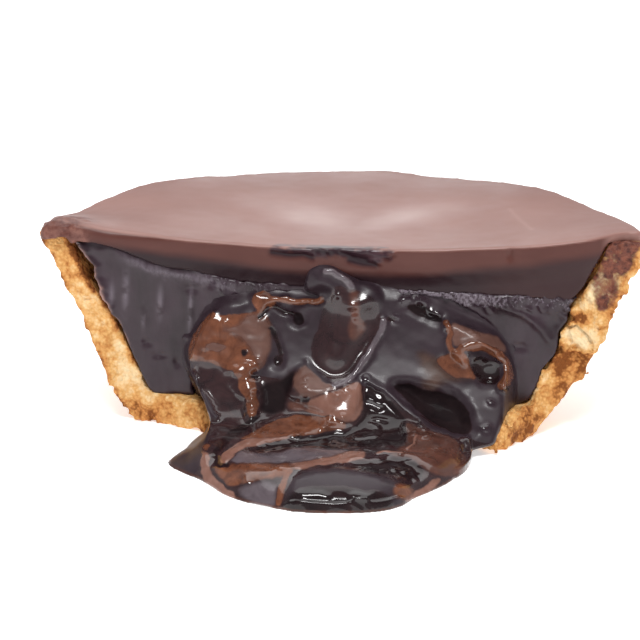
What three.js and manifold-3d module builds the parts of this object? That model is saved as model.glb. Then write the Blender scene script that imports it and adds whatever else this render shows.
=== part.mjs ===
// Half of a deep chocolate tart, cut through the middle, with its molten centre running out.
// Millimetres, +Z up. The tart's own axis is vertical, the cut face looks along -Y, and the
// back of the half lies on +Y. The puddle of sauce spreads on the table in front of the cut.

import * as THREE from 'three';
import { mergeVertices } from 'three/addons/utils/BufferGeometryUtils.js';
import Module from 'manifold-3d';

const wasm = await Module();
wasm.setup();

const { smoothstep } = THREE.MathUtils;

// ---- driving dimensions ------------------------------------------------------------------

const RIM_RADIUS = 45;          // outside of the crust at its rim
const FOOT_RADIUS = 31.2;       // outside of the crust where it meets the table
const TART_HEIGHT = 30.6;       // table to the top of the glazed rim
const WALL = 5.3;               // crust wall, measured level
const FLOOR = 4.5;              // crust floor
const GLAZE = 1.1;              // topping where it runs over the rim of the crust
const TOPPING = 6.4;            // topping at the middle of the cut
const DISH = 2.1;               // how far the middle of the topping lies below its rim
const FACE_GAP = 0.3;           // clearance between neighbouring pieces
const AXIS_Y = -4.85;           // puts the middle of the whole piece over the origin

const TURN_STEPS = 84;          // facets round the tart
const CRUST_TOP = TART_HEIGHT - GLAZE - FACE_GAP;
const WALL_SLOPE = (RIM_RADIUS - FOOT_RADIUS - 2) / (CRUST_TOP - 2);

// ---- wavy surfaces shared by the pieces ----------------------------------------------------

// One dent or swelling of the rim: where it is, in degrees round the tart, how high, how wide.
const RIM_WAVES = [
  [178, 0.4, 6], [160, -0.85, 8], [133, 0.55, 14], [116, -0.3, 6], [84, 0.25, 5],
  [70, -0.25, 10], [47, 0.35, 8], [28, -0.4, 8], [4, 0.6, 7],
];

function bell(distance, width) {
  return Math.exp(-0.5 * (distance / width) ** 2);
}

function rimWave(x, y) {
  const degrees = THREE.MathUtils.radToDeg(Math.atan2(y, x));
  return RIM_WAVES.reduce((sum, [at, height, width]) => sum + height * bell(degrees - at, width), 0);
}

// Slow, hand-made unevenness, about one millimetre in all for a weight of 1.
function lumps(x, y, z) {
  return 0.28 * Math.sin(0.41 * x + 0.9 * Math.sin(0.23 * z + 1.1))
    + 0.22 * Math.sin(0.53 * z - 0.37 * y + 2.3)
    + 0.18 * Math.sin(0.83 * x + 0.71 * z + 0.62 * y)
    + 0.12 * Math.sin(1.37 * x - 1.13 * z + 1.21 * y + 0.7);
}

function outerRadius(z) {
  return FOOT_RADIUS + 2 + WALL_SLOPE * (z - 2);
}

function innerRadius(z) {
  return outerRadius(z) - WALL;
}

// How far the broken floor of the crust stands out in front of the cut, along x.
function floorReach(x) {
  const left = 5.5 * bell(x + 16, 7);
  const right = 9.6 * bell(x - 24.5, 6);
  return left + right;
}

function crustFront(x, z) {
  const low = 1 - smoothstep(z, 2.5, 8.5);
  return -floorReach(x) * low + 0.45 * lumps(x, 3, z);
}

function fillingFront(x, z) {
  return -0.4 + 0.3 * lumps(0.6 * x, 9, 0.4 * z);
}

// The topping stands a little proud where it was cut, has a soft top edge, and draws back
// towards the right-hand rim.
function toppingFront(x, z) {
  const depth = toppingTop(x, 0) - z;
  const edge = 1.3 * (1 - smoothstep(depth, 0, 1.6));
  const undercut = 1.1 * smoothstep(depth, 3, TOPPING);
  const drawnBack = 3.2 * smoothstep(x, 36, 44);
  return -1.5 + edge + undercut + drawnBack + 0.2 * Math.sin(0.35 * x);
}

function toppingTop(x, y) {
  const radius = Math.hypot(x, y);
  const hollow = DISH * (1 - smoothstep(radius, 4, 43)) + 0.5 * bell(x - 26, 9) * bell(y, 12);
  return TART_HEIGHT - hollow + rimWave(x, Math.max(y, 0)) * smoothstep(radius, 28, 43);
}

// The layer of topping is deeper on the right and thins towards the left-hand rim.
function toppingUnderside(x) {
  const middle = TART_HEIGHT - DISH - TOPPING;
  const leftRise = 1.8 * smoothstep(-x, 14, 24) + 3.6 * smoothstep(-x, 24, 38);
  return middle - 0.03 * x + leftRise;
}

// ---- solids ----------------------------------------------------------------------------------

// Welds a closed geometry's vertices, moves each by `place`, and gives a manifold solid.
function solid(geometry, place = (point) => point) {
  geometry.deleteAttribute('normal');
  geometry.deleteAttribute('uv');
  const welded = mergeVertices(geometry, 1e-3);
  const position = welded.getAttribute('position');
  const point = new THREE.Vector3();
  for (let i = 0; i < position.count; i++) {
    point.fromBufferAttribute(position, i);
    place(point);
    position.setXYZ(i, point.x, point.y, point.z);
  }
  const triangles = [];
  for (let i = 0; i < welded.index.count; i += 3) {
    const [a, b, c] = welded.index.array.slice(i, i + 3);
    if (a !== b && b !== c && c !== a) triangles.push(a, b, c);
  }
  return new wasm.Manifold(new wasm.Mesh({
    numProp: 3,
    vertProperties: new Float32Array(position.array),
    triVerts: new Uint32Array(triangles),
  }));
}

// A profile of [radius, height] points turned once round the tart's axis.
function turned(profile, place) {
  const points = profile.map(([radius, height]) => new THREE.Vector2(radius, height));
  const geometry = new THREE.LatheGeometry(points, TURN_STEPS);
  geometry.rotateX(Math.PI / 2);
  return solid(geometry, place);
}

// Everything in front of the surface y = front(x, z), from one height to another.
function inFrontOf(front, { low = -3, high = 47, rows = 22 } = {}) {
  const height = high - low;
  const block = new THREE.BoxGeometry(110, 2, height, 56, 1, rows).translate(0, 0, low + height / 2);
  return solid(block, (point) => {
    point.y = point.y > 0 ? front(point.x, point.z) : -70;
  });
}

// Everything under, or over, the surface z = level(x).
function under(level) {
  return solid(new THREE.BoxGeometry(110, 110, 2, 40, 1, 1), (point) => {
    point.z = point.z > 0 ? level(point.x) : -20;
  });
}

function over(level) {
  return solid(new THREE.BoxGeometry(110, 110, 2, 40, 1, 1), (point) => {
    point.z = point.z < 0 ? level(point.x) : 60;
  });
}

// An egg shape: centre, half sizes, and how much bigger all round. Small ones have fewer facets.
function ball(centre, half, grow = 0) {
  const steps = Math.round(10 + 0.6 * Math.max(...half));
  const geometry = new THREE.SphereGeometry(1, 2 * Math.round(0.75 * steps), Math.round(0.75 * steps));
  const sizes = new THREE.Vector3(...half).addScalar(grow);
  const middle = new THREE.Vector3(...centre);
  return solid(geometry, (point) => point.multiply(sizes).add(middle));
}

// ---- the crust -------------------------------------------------------------------------------

// Points of a straight wall line, from one height to another.
function wallPoints(radiusAt, from, to, count) {
  return Array.from({ length: count }, (_, i) => {
    const height = from + (to - from) * i / (count - 1);
    return [radiusAt(height), height];
  });
}

// `grow` swells the crust all round, for cutting clearance in its neighbours.
function crustSolid(grow = 0) {
  const top = CRUST_TOP + grow;
  const outer = (z) => outerRadius(z) + grow;
  const inner = (z) => innerRadius(z) - grow;
  const profile = [
    [0, -grow],
    [FOOT_RADIUS - 2, -grow],
    [FOOT_RADIUS, 0.5 - grow],
    [FOOT_RADIUS + 1.4 + grow, 1.9],
    ...wallPoints(outer, 3.6, top - 1, 9),
    [outer(top) - 0.9, top],
    [inner(top) + 1, top],
    ...wallPoints(inner, top - 1, FLOOR + 1.8, 8),
    [inner(FLOOR) - 1.6, FLOOR + grow],
    [0, FLOOR + grow],
  ];
  const uneven = (point) => {
    const radius = Math.hypot(point.x, point.y);
    if (point.z < 0.6 || radius < FOOT_RADIUS - 2) return;
    const bulge = 0.9 * bell(point.x - 42, 6) * bell(point.y, 14);
    const wave = (0.4 * lumps(point.x, point.y, point.z) + bulge) * smoothstep(point.z, 0.6, 5);
    const outside = radius > (innerRadius(point.z) + outerRadius(point.z)) / 2;
    const factor = 1 + (outside ? wave : 0.5 * wave) / radius;
    point.x *= factor;
    point.y *= factor;
    if (point.z > CRUST_TOP - 2) point.z += rimWave(point.x, Math.max(point.y, 0));
  };
  const front = inFrontOf((x, z) => crustFront(x, z) - grow);
  return turned(profile, uneven).subtract(front);
}

// A chip out of the outside of the wall, low on the right where the crust broke.
function chip() {
  return ball([37.4, -1, 5.4], [2.1, 4, 3.2]);
}

// ---- the layers inside -------------------------------------------------------------------------

function fillingSolid(sauceRoom, crustRoom) {
  const profile = [
    [0, FLOOR + FACE_GAP],
    [innerRadius(FLOOR) + 1, FLOOR + FACE_GAP],
    [innerRadius(CRUST_TOP) + 1, CRUST_TOP],
    [0, CRUST_TOP],
  ];
  return turned(profile)
    .subtract(inFrontOf(fillingFront, { rows: 12 }))
    .subtract(over((x) => toppingUnderside(x) - FACE_GAP))
    .subtract(crustRoom)
    .subtract(sauceRoom);
}

// Heights between which the cut edge of the topping lies.
const TOPPING_SPAN = { low: 18, high: 36, rows: 14 };

function toppingSolid(crustRoom) {
  const edge = RIM_RADIUS + 0.2;
  const profile = [
    [0, TART_HEIGHT - 14],
    [innerRadius(CRUST_TOP - 4), TART_HEIGHT - 14],
    [innerRadius(CRUST_TOP) + 2, CRUST_TOP - 1],
    [edge - 1.2, CRUST_TOP - 1],
    [edge - 0.4, TART_HEIGHT - GLAZE],
    [edge, TART_HEIGHT - 0.6 * GLAZE],
    [edge - 0.7, TART_HEIGHT - 0.1],
    ...[43, 40, 36, 31, 25, 18, 10].map((radius) => [radius, TART_HEIGHT]),
    [0, TART_HEIGHT],
  ];
  const topHeight = TART_HEIGHT - 1.5 * GLAZE;
  const dished = (point) => {
    if (point.z > topHeight) point.z += toppingTop(point.x, point.y) - TART_HEIGHT;
  };
  return turned(profile, dished)
    .subtract(inFrontOf(toppingFront, TOPPING_SPAN))
    .subtract(under(toppingUnderside))
    .subtract(crustRoom);
}

// ---- the molten centre and its puddle ----------------------------------------------------------

const SAUCE_TOP = 21.6;         // highest sauce on the cut face, beside the drip
const SAUCE_MIDDLE = 1.2;
const SAUCE_HALF_WIDTH = 24.2;  // at half height, narrower above and a little below
const SAUCE_DEPTH_INSIDE = 7;   // how far the molten centre goes into the filling

// Distance in a plane from a point to the stretch between two others.
function distanceToStretch([x, y], [x0, y0], [x1, y1]) {
  const along = ((x - x0) * (x1 - x0) + (y - y0) * (y1 - y0)) / ((x1 - x0) ** 2 + (y1 - y0) ** 2);
  const t = THREE.MathUtils.clamp(along, 0, 1);
  return Math.hypot(x - x0 - t * (x1 - x0), y - y0 - t * (y1 - y0));
}

function distanceToPath(point, path) {
  return Math.min(...path.slice(1).map((end, i) => distanceToStretch(point, path[i], end)));
}

// Where the thick drip comes down the cut face, and the fold that crosses its foot: [x, z].
const DRIP = [[2.4, 25], [5, 21], [3.6, 15], [1.4, 9]];
const CROSS_FOLD = [[5.5, 11], [13.5, 6.8], [22, 3]];

// How far the sauce stands out from the cut plane at [x, z].
function sauceReach(x, z) {
  const slump = 1.6 + 14.5 * Math.max(0, (SAUCE_TOP - z) / SAUCE_TOP) ** 1.8;
  const across = 1 - 0.3 * ((x - SAUCE_MIDDLE) / SAUCE_HALF_WIDTH) ** 2;
  const drip = 3 * bell(distanceToPath([x, z], DRIP), 2.6) * smoothstep(z, 5, 10);
  const fold = 1.8 * bell(distanceToPath([x, z], CROSS_FOLD), 1.4);
  const tongue = 2 * bell(x + 1, 4) * bell(z - 6.6, 2);
  const patch = 1.1 * bell(x + 18, 3.6) * bell(z - 13, 5);
  const curl = 1.8 * bell(x - 20, 4.4) * bell(z - 14, 4.2) - 2.4 * bell(x - 20.4, 1.8) * bell(z - 13.4, 1.6);
  const hollow = -3.4 * bell(x - 17, 2.8) * bell(z - 7, 1.9);
  return slump * across + drip + fold + tongue + patch + curl + hollow;
}

// The molten centre: it bulges out of the cut face and slumps down to the table.
function moltenCentre(grow) {
  const middle = SAUCE_TOP / 2;
  return solid(new THREE.BoxGeometry(2, 2, 1, 34, 1, 18).translate(0, 0, 0.5), (point) => {
    const z = point.z * (SAUCE_TOP + grow);
    const rise = (z - middle) / middle;
    const narrowing = rise > 0 ? 0.4 * rise ** 2.4 : 0.08 * rise ** 2;
    const x = SAUCE_MIDDLE + point.x * (SAUCE_HALF_WIDTH + grow) * (1 - narrowing);
    const rounding = Math.max(0, 1 - point.x ** 2) ** 0.32;
    const full = rounding * Math.max(0, 1 - Math.max(0, rise) ** 5) ** 0.5;
    const front = -0.2 - grow - full * sauceReach(x, z);
    point.set(x, point.y < 0 ? front : grow + full * SAUCE_DEPTH_INSIDE, z);
  });
}

const PUDDLE_MIDDLE = [-1.2, -14.8];
const PUDDLE_HALF = [20.6, 20.7];
// A ribbon of sauce folded back over the puddle: [x, y].
const RIBBON = [[1, -13], [-11, -15], [-15.5, -21], [-8, -26.5], [10, -24]];

function puddleHeight(x, y) {
  const swell = 1.1 * bell(x - 4, 9) * bell(y + 28, 4.5);
  return 4 + swell + 0.9 * bell(distanceToPath([x, y], RIBBON), 1.5);
}

function puddle() {
  const dome = new THREE.SphereGeometry(1, 44, 18).rotateX(Math.PI / 2);
  return solid(dome, (point) => {
    const x = PUDDLE_MIDDLE[0] + point.x * PUDDLE_HALF[0];
    const y = PUDDLE_MIDDLE[1] + point.y * PUDDLE_HALF[1];
    point.set(x, y, point.z > 0 ? puddleHeight(x, y) * point.z ** 0.7 : point.z);
  });
}

// The head of the drip, which hangs in front of the topping.
function dripHead(grow) {
  return ball([3.6, -2.2, 22.6], [4.9, 3.2, 3.3], grow);
}

// Lobes at the two ends of the puddle, and the tongue at the foot of the drip.
function endLobes() {
  return ball([-20.4, -16, 0], [4.6, 6, 3.2])
    .add(ball([17, -14.6, 0], [4.4, 4.4, 2.6]))
    .add(ball([-1, -12.4, 5.4], [5.2, 3.6, 3]));
}

// The part of the sauce that lies against the filling.
function innerSauce(grow = 0) {
  return moltenCentre(grow).add(dripHead(grow));
}

// ---- assembly ------------------------------------------------------------------------------------

function meshOf(name, manifold, material) {
  const { vertProperties, triVerts } = manifold.getMesh();
  const geometry = new THREE.BufferGeometry();
  geometry.setAttribute('position', new THREE.BufferAttribute(new Float32Array(vertProperties), 3));
  geometry.setIndex(new THREE.BufferAttribute(new Uint32Array(triVerts), 1));
  geometry.computeVertexNormals();
  const mesh = new THREE.Mesh(geometry, new THREE.MeshStandardMaterial(material));
  mesh.name = name;
  return mesh;
}

const crustRoom = crustSolid(FACE_GAP);
const topping = toppingSolid(crustRoom);
const beforeTopping = inFrontOf((x, z) => toppingFront(x, z) - FACE_GAP, TOPPING_SPAN);
const sauce = innerSauce()
  .add(puddle())
  .add(endLobes())
  .subtract(crustRoom)
  .subtract(over((x) => toppingUnderside(x) - FACE_GAP).subtract(beforeTopping))
  .subtract(under(() => 0));

const group = new THREE.Group();
group.add(
  meshOf('crust', crustSolid().subtract(chip()), { color: 0xd9a25a, roughness: 0.85, metalness: 0 }),
  meshOf('filling', fillingSolid(innerSauce(FACE_GAP), crustRoom), {
    color: 0x352a28,
    roughness: 0.45,
    metalness: 0,
  }),
  meshOf('topping', topping, { color: 0x5a382f, roughness: 0.35, metalness: 0 }),
  meshOf('sauce', sauce, { color: 0x2e1c18, roughness: 0.15, metalness: 0 }),
);
group.position.y = AXIS_Y;

export default group;
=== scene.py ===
"""A small chocolate tart, cut in half, with a molten centre that runs out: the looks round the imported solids.

Each piece is a signed field (negative inside) in the tart's own millimetres: x right, y back from the cut,
z up, axis at the origin. A net is drawn over its zero surface and set in the CAD frame, in metres.
"""

import math
from itertools import product

import bpy
import numpy as np
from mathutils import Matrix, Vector


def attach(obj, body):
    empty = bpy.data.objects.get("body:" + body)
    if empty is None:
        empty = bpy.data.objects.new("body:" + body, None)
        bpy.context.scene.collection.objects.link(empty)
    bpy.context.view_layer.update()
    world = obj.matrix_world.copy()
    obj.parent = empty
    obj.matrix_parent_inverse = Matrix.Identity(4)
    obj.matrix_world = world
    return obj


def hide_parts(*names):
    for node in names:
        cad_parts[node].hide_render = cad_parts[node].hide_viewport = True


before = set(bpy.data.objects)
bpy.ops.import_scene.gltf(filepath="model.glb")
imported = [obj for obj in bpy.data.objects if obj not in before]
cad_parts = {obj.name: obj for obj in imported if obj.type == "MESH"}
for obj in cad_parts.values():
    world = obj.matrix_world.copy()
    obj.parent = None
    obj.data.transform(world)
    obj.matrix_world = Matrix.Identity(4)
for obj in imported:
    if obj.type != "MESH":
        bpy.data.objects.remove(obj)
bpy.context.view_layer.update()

# ---------------------------------------------------------------- sizes, mm, as in the part's source
AXIS_Y = -4.85                       # the tart's axis in the CAD frame
RIM_RADIUS, FOOT_RADIUS = 45.0, 31.2
HEIGHT, WALL, FLOOR = 30.6, 5.3, 4.5
GLAZE, TOPPING, DISH, FACE_GAP = 1.1, 6.4, 2.1, 0.3
CRUST_TOP = HEIGHT - GLAZE - FACE_GAP
SLOPE = (RIM_RADIUS - FOOT_RADIUS - 2) / (CRUST_TOP - 2)
LEAN = 1 / math.sqrt(1 + SLOPE ** 2)
# degrees round the back, height, width in degrees
RIM_WAVES = [(178, 0.4, 6), (160, -0.85, 8), (133, 0.55, 14), (116, -0.3, 6), (84, 0.25, 5),
    (70, -0.25, 10), (47, 0.35, 8), (28, -0.4, 8), (4, 0.6, 7)]
SAUCE_TOP, SAUCE_MIDDLE, SAUCE_HALF, MOLTEN_DEPTH = 21.6, 1.2, 24.2, 7.0
TO_METRES = 0.001
FINE, COARSE = 0.3, 0.75             # sampling near the cut and towards the back


# ---------------------------------------------------------------- small mathematics
def bell(distance, width):
    """1 at distance 0, falling off softly over about the width."""
    return np.exp(-0.5 * (distance / width) ** 2)


def ramp(value, low, high):
    """0 up to low and 1 from high on, smooth between. low may be the larger of the two."""
    t = np.clip((value - low) / (high - low), 0, 1)
    return t * t * (3 - 2 * t)


def soft_max(a, b, round_by):
    """The larger of two fields, rounded where they meet."""
    h = np.clip(0.5 + 0.5 * (a - b) / round_by, 0, 1)
    return b + (a - b) * h + round_by * h * (1 - h)


def soft_min(a, b, round_by):
    return -soft_max(-a, -b, round_by)


def mounds(u, v, forms):
    """The height of soft mounds over a flat place: each has a middle, two half widths and a height."""
    return sum(rise * bell(u - at_u, wide) * bell(v - at_v, tall) for at_u, at_v, wide, tall, rise in forms)


def line_distance(places, line):
    """How far each place (a list of axes) is from an open line of points."""
    best = np.float32(1e9)
    for start, end in zip(line[:-1], line[1:]):
        along = [e - s for s, e in zip(start, end)]
        reach = sum(a * a for a in along)
        offset = [p - s for p, s in zip(places, start)]
        t = np.clip(sum(o * a for o, a in zip(offset, along)) / reach, 0, 1)
        best = np.minimum(best, sum((o - t * a) ** 2 for o, a in zip(offset, along)))
    return np.sqrt(best)


def inside_outline(x, y, outline, passes=3):
    """How deep each place lies within a closed outline with rounded corners; negative outside."""
    outline = rounded(outline, passes)
    ring = outline + outline[:1]
    within = np.zeros(np.broadcast(x, y).shape, bool)
    for (x0, y0), (x1, y1) in zip(ring[:-1], ring[1:]):
        crosses = ((y0 > y) != (y1 > y)) & (x < (x1 - x0) * (y - y0) / (y1 - y0 + 1e-9) + x0)
        within ^= crosses
    return np.where(within, 1, -1) * line_distance((x, y), ring)


def rounded(outline, passes):
    """A closed outline with its corners cut again and again."""
    for _ in range(passes):
        ring = outline + outline[:1]
        outline = [(a[0] * k + b[0] * (1 - k), a[1] * k + b[1] * (1 - k))
                   for a, b in zip(ring[:-1], ring[1:]) for k in (0.75, 0.25)]
    return outline


def smooth_line(line, passes=2):
    """An open line of points with its corners cut."""
    for _ in range(passes):
        inner = [tuple(p * k + q * (1 - k) for p, q in zip(a, b))
                 for a, b in zip(line[:-1], line[1:]) for k in (0.75, 0.25)]
        line = [line[0]] + inner[1:-1] + [line[-1]]
    return line


# ---------------------------------------------------------------- noise, the same at each run
# large odd numbers that scatter the bits of a lattice place
SCATTER = [np.uint32(number) for number in (374761393, 668265263, 2246822519, 3266489917)]


def scramble(cell, seed):
    """A steady whole number for each lattice cell."""
    c = cell.astype(np.uint32)
    h = c[:, 0] * SCATTER[0] + c[:, 1] * SCATTER[1] + c[:, 2] * SCATTER[2]
    h = h + np.uint32(seed * 7919 + 17)
    h = (h ^ (h >> np.uint32(15))) * SCATTER[2]
    h = (h ^ (h >> np.uint32(13))) * SCATTER[3]
    return h ^ (h >> np.uint32(16))


def three_parts(h):
    """Three numbers from 0 to 1 out of each whole number."""
    return np.stack([(h >> np.uint32(s)) & np.uint32(1023) for s in (0, 10, 20)], 1).astype(np.float32) / 1023


def noise(points, size, seed):
    """Smooth lumps of about that size, from about -1 to 1."""
    q = points / np.float32(size)
    cell = np.floor(q)
    f = (q - cell).astype(np.float32)
    w = f * f * f * (f * (f * 6 - 15) + 10)
    cell = cell.astype(np.int64)
    total = np.zeros(len(points), np.float32)
    for corner in product((0, 1), repeat=3):
        c = np.array(corner)
        slope = three_parts(scramble(cell + c, seed)) * 2 - 1
        weight = np.prod(np.where(c == 1, w, 1 - w), axis=1)
        total += weight * ((f - c) * slope).sum(1)
    return total * 1.5


def layers(points, size, seed, count=3, fade=0.5):
    """Several noises, each half the size of the last."""
    return sum(noise(points, size / 2 ** i, seed + i) * fade ** i for i in range(count))


def nearest_seed(points, size, seed):
    """Distance to the nearest of seeds scattered one to a cell, in cells."""
    q = points / np.float32(size)
    cell = np.floor(q).astype(np.int64)
    best = np.full(len(points), 9.0, np.float32)
    for step in product((-1, 0, 1), repeat=3):
        near = cell + np.array(step)
        place = near + three_parts(scramble(near, seed))
        best = np.minimum(best, ((q - place) ** 2).sum(1))
    return np.sqrt(best)


# ---------------------------------------------------------------- sampling and nets
COARSER_BY = 1.05                    # each step towards the back is this much longer than the last
EVENED_OUT, DRAWN_BACK = 0.6, 0.9    # the shares of a round of settling


def grid(*places):
    return np.meshgrid(*places, indexing="ij", sparse=True)


def even(low, high, step=FINE):
    return np.arange(low, high + step, step, dtype=np.float32)


def graded(low, high, fine_to):
    """Places that are close near the cut and spread out towards the back."""
    places, step = [low], FINE
    while places[-1] < high:
        places.append(places[-1] + step)
        if places[-1] > fine_to:
            step = min(step * COARSER_BY, COARSE)
    return np.array(places, np.float32)


def roughen(field, axes, band, relief):
    """Adds relief(points) to the field near its zero surface."""
    near = np.abs(field) < band
    points = np.stack([np.broadcast_to(a, field.shape)[near] for a in axes], 1)
    field[near] += relief(points)
    return field


def net(field, places):
    """The zero surface of a sampled field as points and four-sided faces."""
    inside = field < 0
    span = [n - 1 for n in field.shape]

    def shifted(array, corner):
        return array[tuple(slice(c, c + n) for c, n in zip(corner, span))]

    corners = list(product((0, 1), repeat=3))
    count = sum(shifted(inside, c).astype(np.int8) for c in corners)
    active = (count > 0) & (count < 8)
    index = np.full(active.shape, -1, np.int64)
    cells = np.argwhere(active)
    index[active] = np.arange(len(cells))
    total, hits = np.zeros((len(cells), 3)), np.zeros(len(cells))
    for a, b in product(corners, corners):
        if sum(b) != sum(a) + 1 or any(p > q for p, q in zip(a, b)):
            continue
        va = field[tuple((cells + np.array(a)).T)]
        vb = field[tuple((cells + np.array(b)).T)]
        crosses = (va < 0) != (vb < 0)
        t = np.where(crosses, va / np.where(crosses, va - vb, 1), 0)
        total += np.where(crosses[:, None], np.array(a) + t[:, None] * (np.array(b) - np.array(a)), 0)
        hits += crosses
    points = cells + total / hits[:, None]
    faces = []
    for axis in range(3):
        u, v = (axis + 1) % 3, (axis + 2) % 3
        here = [slice(1, n - 1) for n in field.shape]
        here[axis] = slice(0, field.shape[axis] - 1)
        ahead = list(here)
        ahead[axis] = slice(1, field.shape[axis])
        a, b = inside[tuple(here)], inside[tuple(ahead)]
        for into, turned in ((a & ~b, False), (~a & b, True)):
            at = np.argwhere(into)
            at[:, u] += 1
            at[:, v] += 1
            ring = []
            for du, dv in ((-1, -1), (0, -1), (0, 0), (-1, 0)):
                cell = at.copy()
                cell[:, u] += du
                cell[:, v] += dv
                ring.append(index[tuple(cell.T)])
            ring = np.stack(ring[::-1] if turned else ring, 1)
            faces.append(ring)
    return settle(*without_loose_bits(points, np.concatenate(faces)), field, places)


def without_loose_bits(points, faces):
    """The largest part of a net that hangs together."""
    label, last = np.arange(len(points)), None
    while last is None or (label != last).any():
        last = label
        label = label.copy()
        np.minimum.at(label, faces.ravel(), np.repeat(last[faces].min(1), 4))
        label = label[label]
    kept = label == np.bincount(label).argmax()
    return points[kept], (np.cumsum(kept) - 1)[faces[kept[faces[:, 0]]]]


def field_at(points, field):
    """The field and its slope at places given in steps of the grid."""
    low = np.clip(np.floor(points).astype(int), 0, np.array(field.shape) - 2)
    f = points - low
    value, slope = 0, np.zeros((len(points), 3))
    for corner in product((0, 1), repeat=3):
        c = np.array(corner)
        v = field[tuple((low + c).T)]
        w = np.where(c == 1, f, 1 - f)
        value = value + v * w.prod(1)
        for axis in range(3):
            others = w[:, (axis + 1) % 3] * w[:, (axis + 2) % 3]
            slope[:, axis] += v * others * (1 if c[axis] else -1)
    return value, slope


def settle(points, faces, field, places, rounds=2):
    """Evens the net out and draws it back to the surface, then gives real places."""
    for _ in range(rounds):
        middle = points[faces].mean(1)
        total, hits = np.zeros_like(points), np.bincount(faces.ravel(), minlength=len(points))
        for axis in range(3):
            total[:, axis] = np.bincount(faces.ravel(), np.repeat(middle[:, axis], 4), len(points))
        average = total / np.maximum(hits, 1)[:, None]
        points = (1 - EVENED_OUT) * points + EVENED_OUT * average
        value, slope = field_at(points, field)
        step = value / np.maximum((slope ** 2).sum(1), 1e-4)
        points = points - np.clip(step, -3, 3)[:, None] * slope * DRAWN_BACK
    real = [np.interp(points[:, i], np.arange(len(p)), p) for i, p in enumerate(places)]
    real[2] = np.maximum(real[2], 0)
    return np.stack(real, 1), faces


def make_piece(name, points, faces, material, masks):
    """A smooth mesh with its masks, in the CAD frame, that stands for its CAD node."""
    mesh = bpy.data.meshes.new(name)
    mesh.vertices.add(len(points))
    placed = (points + np.array([0, AXIS_Y, 0])) * TO_METRES
    mesh.vertices.foreach_set("co", placed.astype(np.float32).ravel())
    mesh.loops.add(faces.size)
    mesh.loops.foreach_set("vertex_index", faces.astype(np.int32).ravel())
    mesh.polygons.add(len(faces))
    mesh.polygons.foreach_set("loop_start", np.arange(0, faces.size, 4, dtype=np.int32))
    mesh.update(calc_edges=True)
    mesh.polygons.foreach_set("use_smooth", np.ones(len(faces), bool))
    for key, values in masks.items():
        attribute = mesh.attributes.new(key, "FLOAT", "POINT")
        attribute.data.foreach_set("value", np.clip(values, 0, 1).astype(np.float32))
    mesh.materials.append(material)
    piece = bpy.data.objects.new(name, mesh)
    bpy.context.scene.collection.objects.link(piece)
    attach(piece, "root")
    return piece


# ---------------------------------------------------------------- the tart's shared forms
def lumps(x, y, z):
    """Slow swells of up to 0.8 mm, the same for every piece."""
    waves = 0.28 * np.sin(0.41 * x + 0.9 * np.sin(0.23 * z + 1.1))
    waves = waves + 0.22 * np.sin(0.53 * z - 0.37 * y + 2.3)
    waves = waves + 0.18 * np.sin(0.83 * x + 0.71 * z + 0.62 * y)
    return waves + 0.12 * np.sin(1.37 * x - 1.13 * z + 1.21 * y + 0.7)


def rim_wave(x, y):
    """How much higher than usual the rim is, going round the back half."""
    at = np.degrees(np.arctan2(np.maximum(y, 0), x))
    return sum(height * bell(at - place, width) for place, height, width in RIM_WAVES)


def outer_radius(z):
    """The crust's side: straight in section, and wider towards the rim."""
    return FOOT_RADIUS + 2 + SLOPE * (z - 2)


def inner_radius(z):
    return outer_radius(z) - WALL


# lumps on the inner face at the right of the cut: height, half height, how far they stand in
INNER_LUMPS = [(20, 1.3, 1), (16, 0.8, 0.6), (10, 1, 0.5), (12.6, 1, -0.4)]


def inner_face(x, y, z):
    """The crust's inner radius. By the cut the wall is thin high up at the left, and lumpy at the right."""
    left = 1.4 * ramp(z, 16.5, 23) * ramp(-x, 25, 32)
    right = sum(size * bell(z - at_z, tall) for at_z, tall, size in INNER_LUMPS) * ramp(x, 24, 28)
    return inner_radius(z) + (left - right) * (1 - ramp(y, 2, 8))


def topping_top(x, y):
    """The topping's upper side: dished, with a hollow at the right and a bump at the left end of the cut."""
    r = np.hypot(x, y)
    hollow = 0.5 * bell(x - 26, 9) * bell(y, 12)
    bump = 0.85 * bell(x + 40.5, 2.8) * bell(y, 5)
    dish = DISH * (1 - ramp(r, 4, 43)) + hollow - bump
    return HEIGHT - dish + rim_wave(x, y) * ramp(r, 28, 43)


def topping_underside(x):
    """The topping's lower side within the crust: it is thinner towards the left."""
    return HEIGHT - DISH - TOPPING - 0.03 * x + 1.8 * ramp(-x, 14, 24) + 3.6 * ramp(-x, 24, 38)


def left_lift(x, y):
    """How much higher the crust reaches under the topping's thin edge at the left of the cut."""
    return 0.8 * ramp(-x, 34, 38) * (1 - ramp(y, 1, 5))


def crust_front(x, z):
    """Where the crust ends in front, over x and z: its broken floor reaches out in front of the cut."""
    floor_reach = 5.5 * bell(x + 16, 7) + 9.6 * bell(x - 23.5, np.where(x > 23.5, 4.2, 6))
    return -floor_reach * (1 - ramp(z, 2.5, 8.5)) + 0.45 * lumps(x, 3, z)


def sauce_fullness(x, z):
    """How full the molten centre is: 1 in its middle, 0 at its edge."""
    rise = (z - SAUCE_TOP / 2) / (SAUCE_TOP / 2)
    narrowing = np.where(rise > 0, 0.4 * np.maximum(rise, 0) ** 2.4, 0.08 * rise ** 2)
    u = (x - SAUCE_MIDDLE) / (SAUCE_HALF * (1 - narrowing))
    closing = np.maximum(0, 1 - np.maximum(rise, 0) ** 5) ** 0.5
    return np.maximum(0, 1 - u ** 2) ** 0.32 * closing


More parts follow.
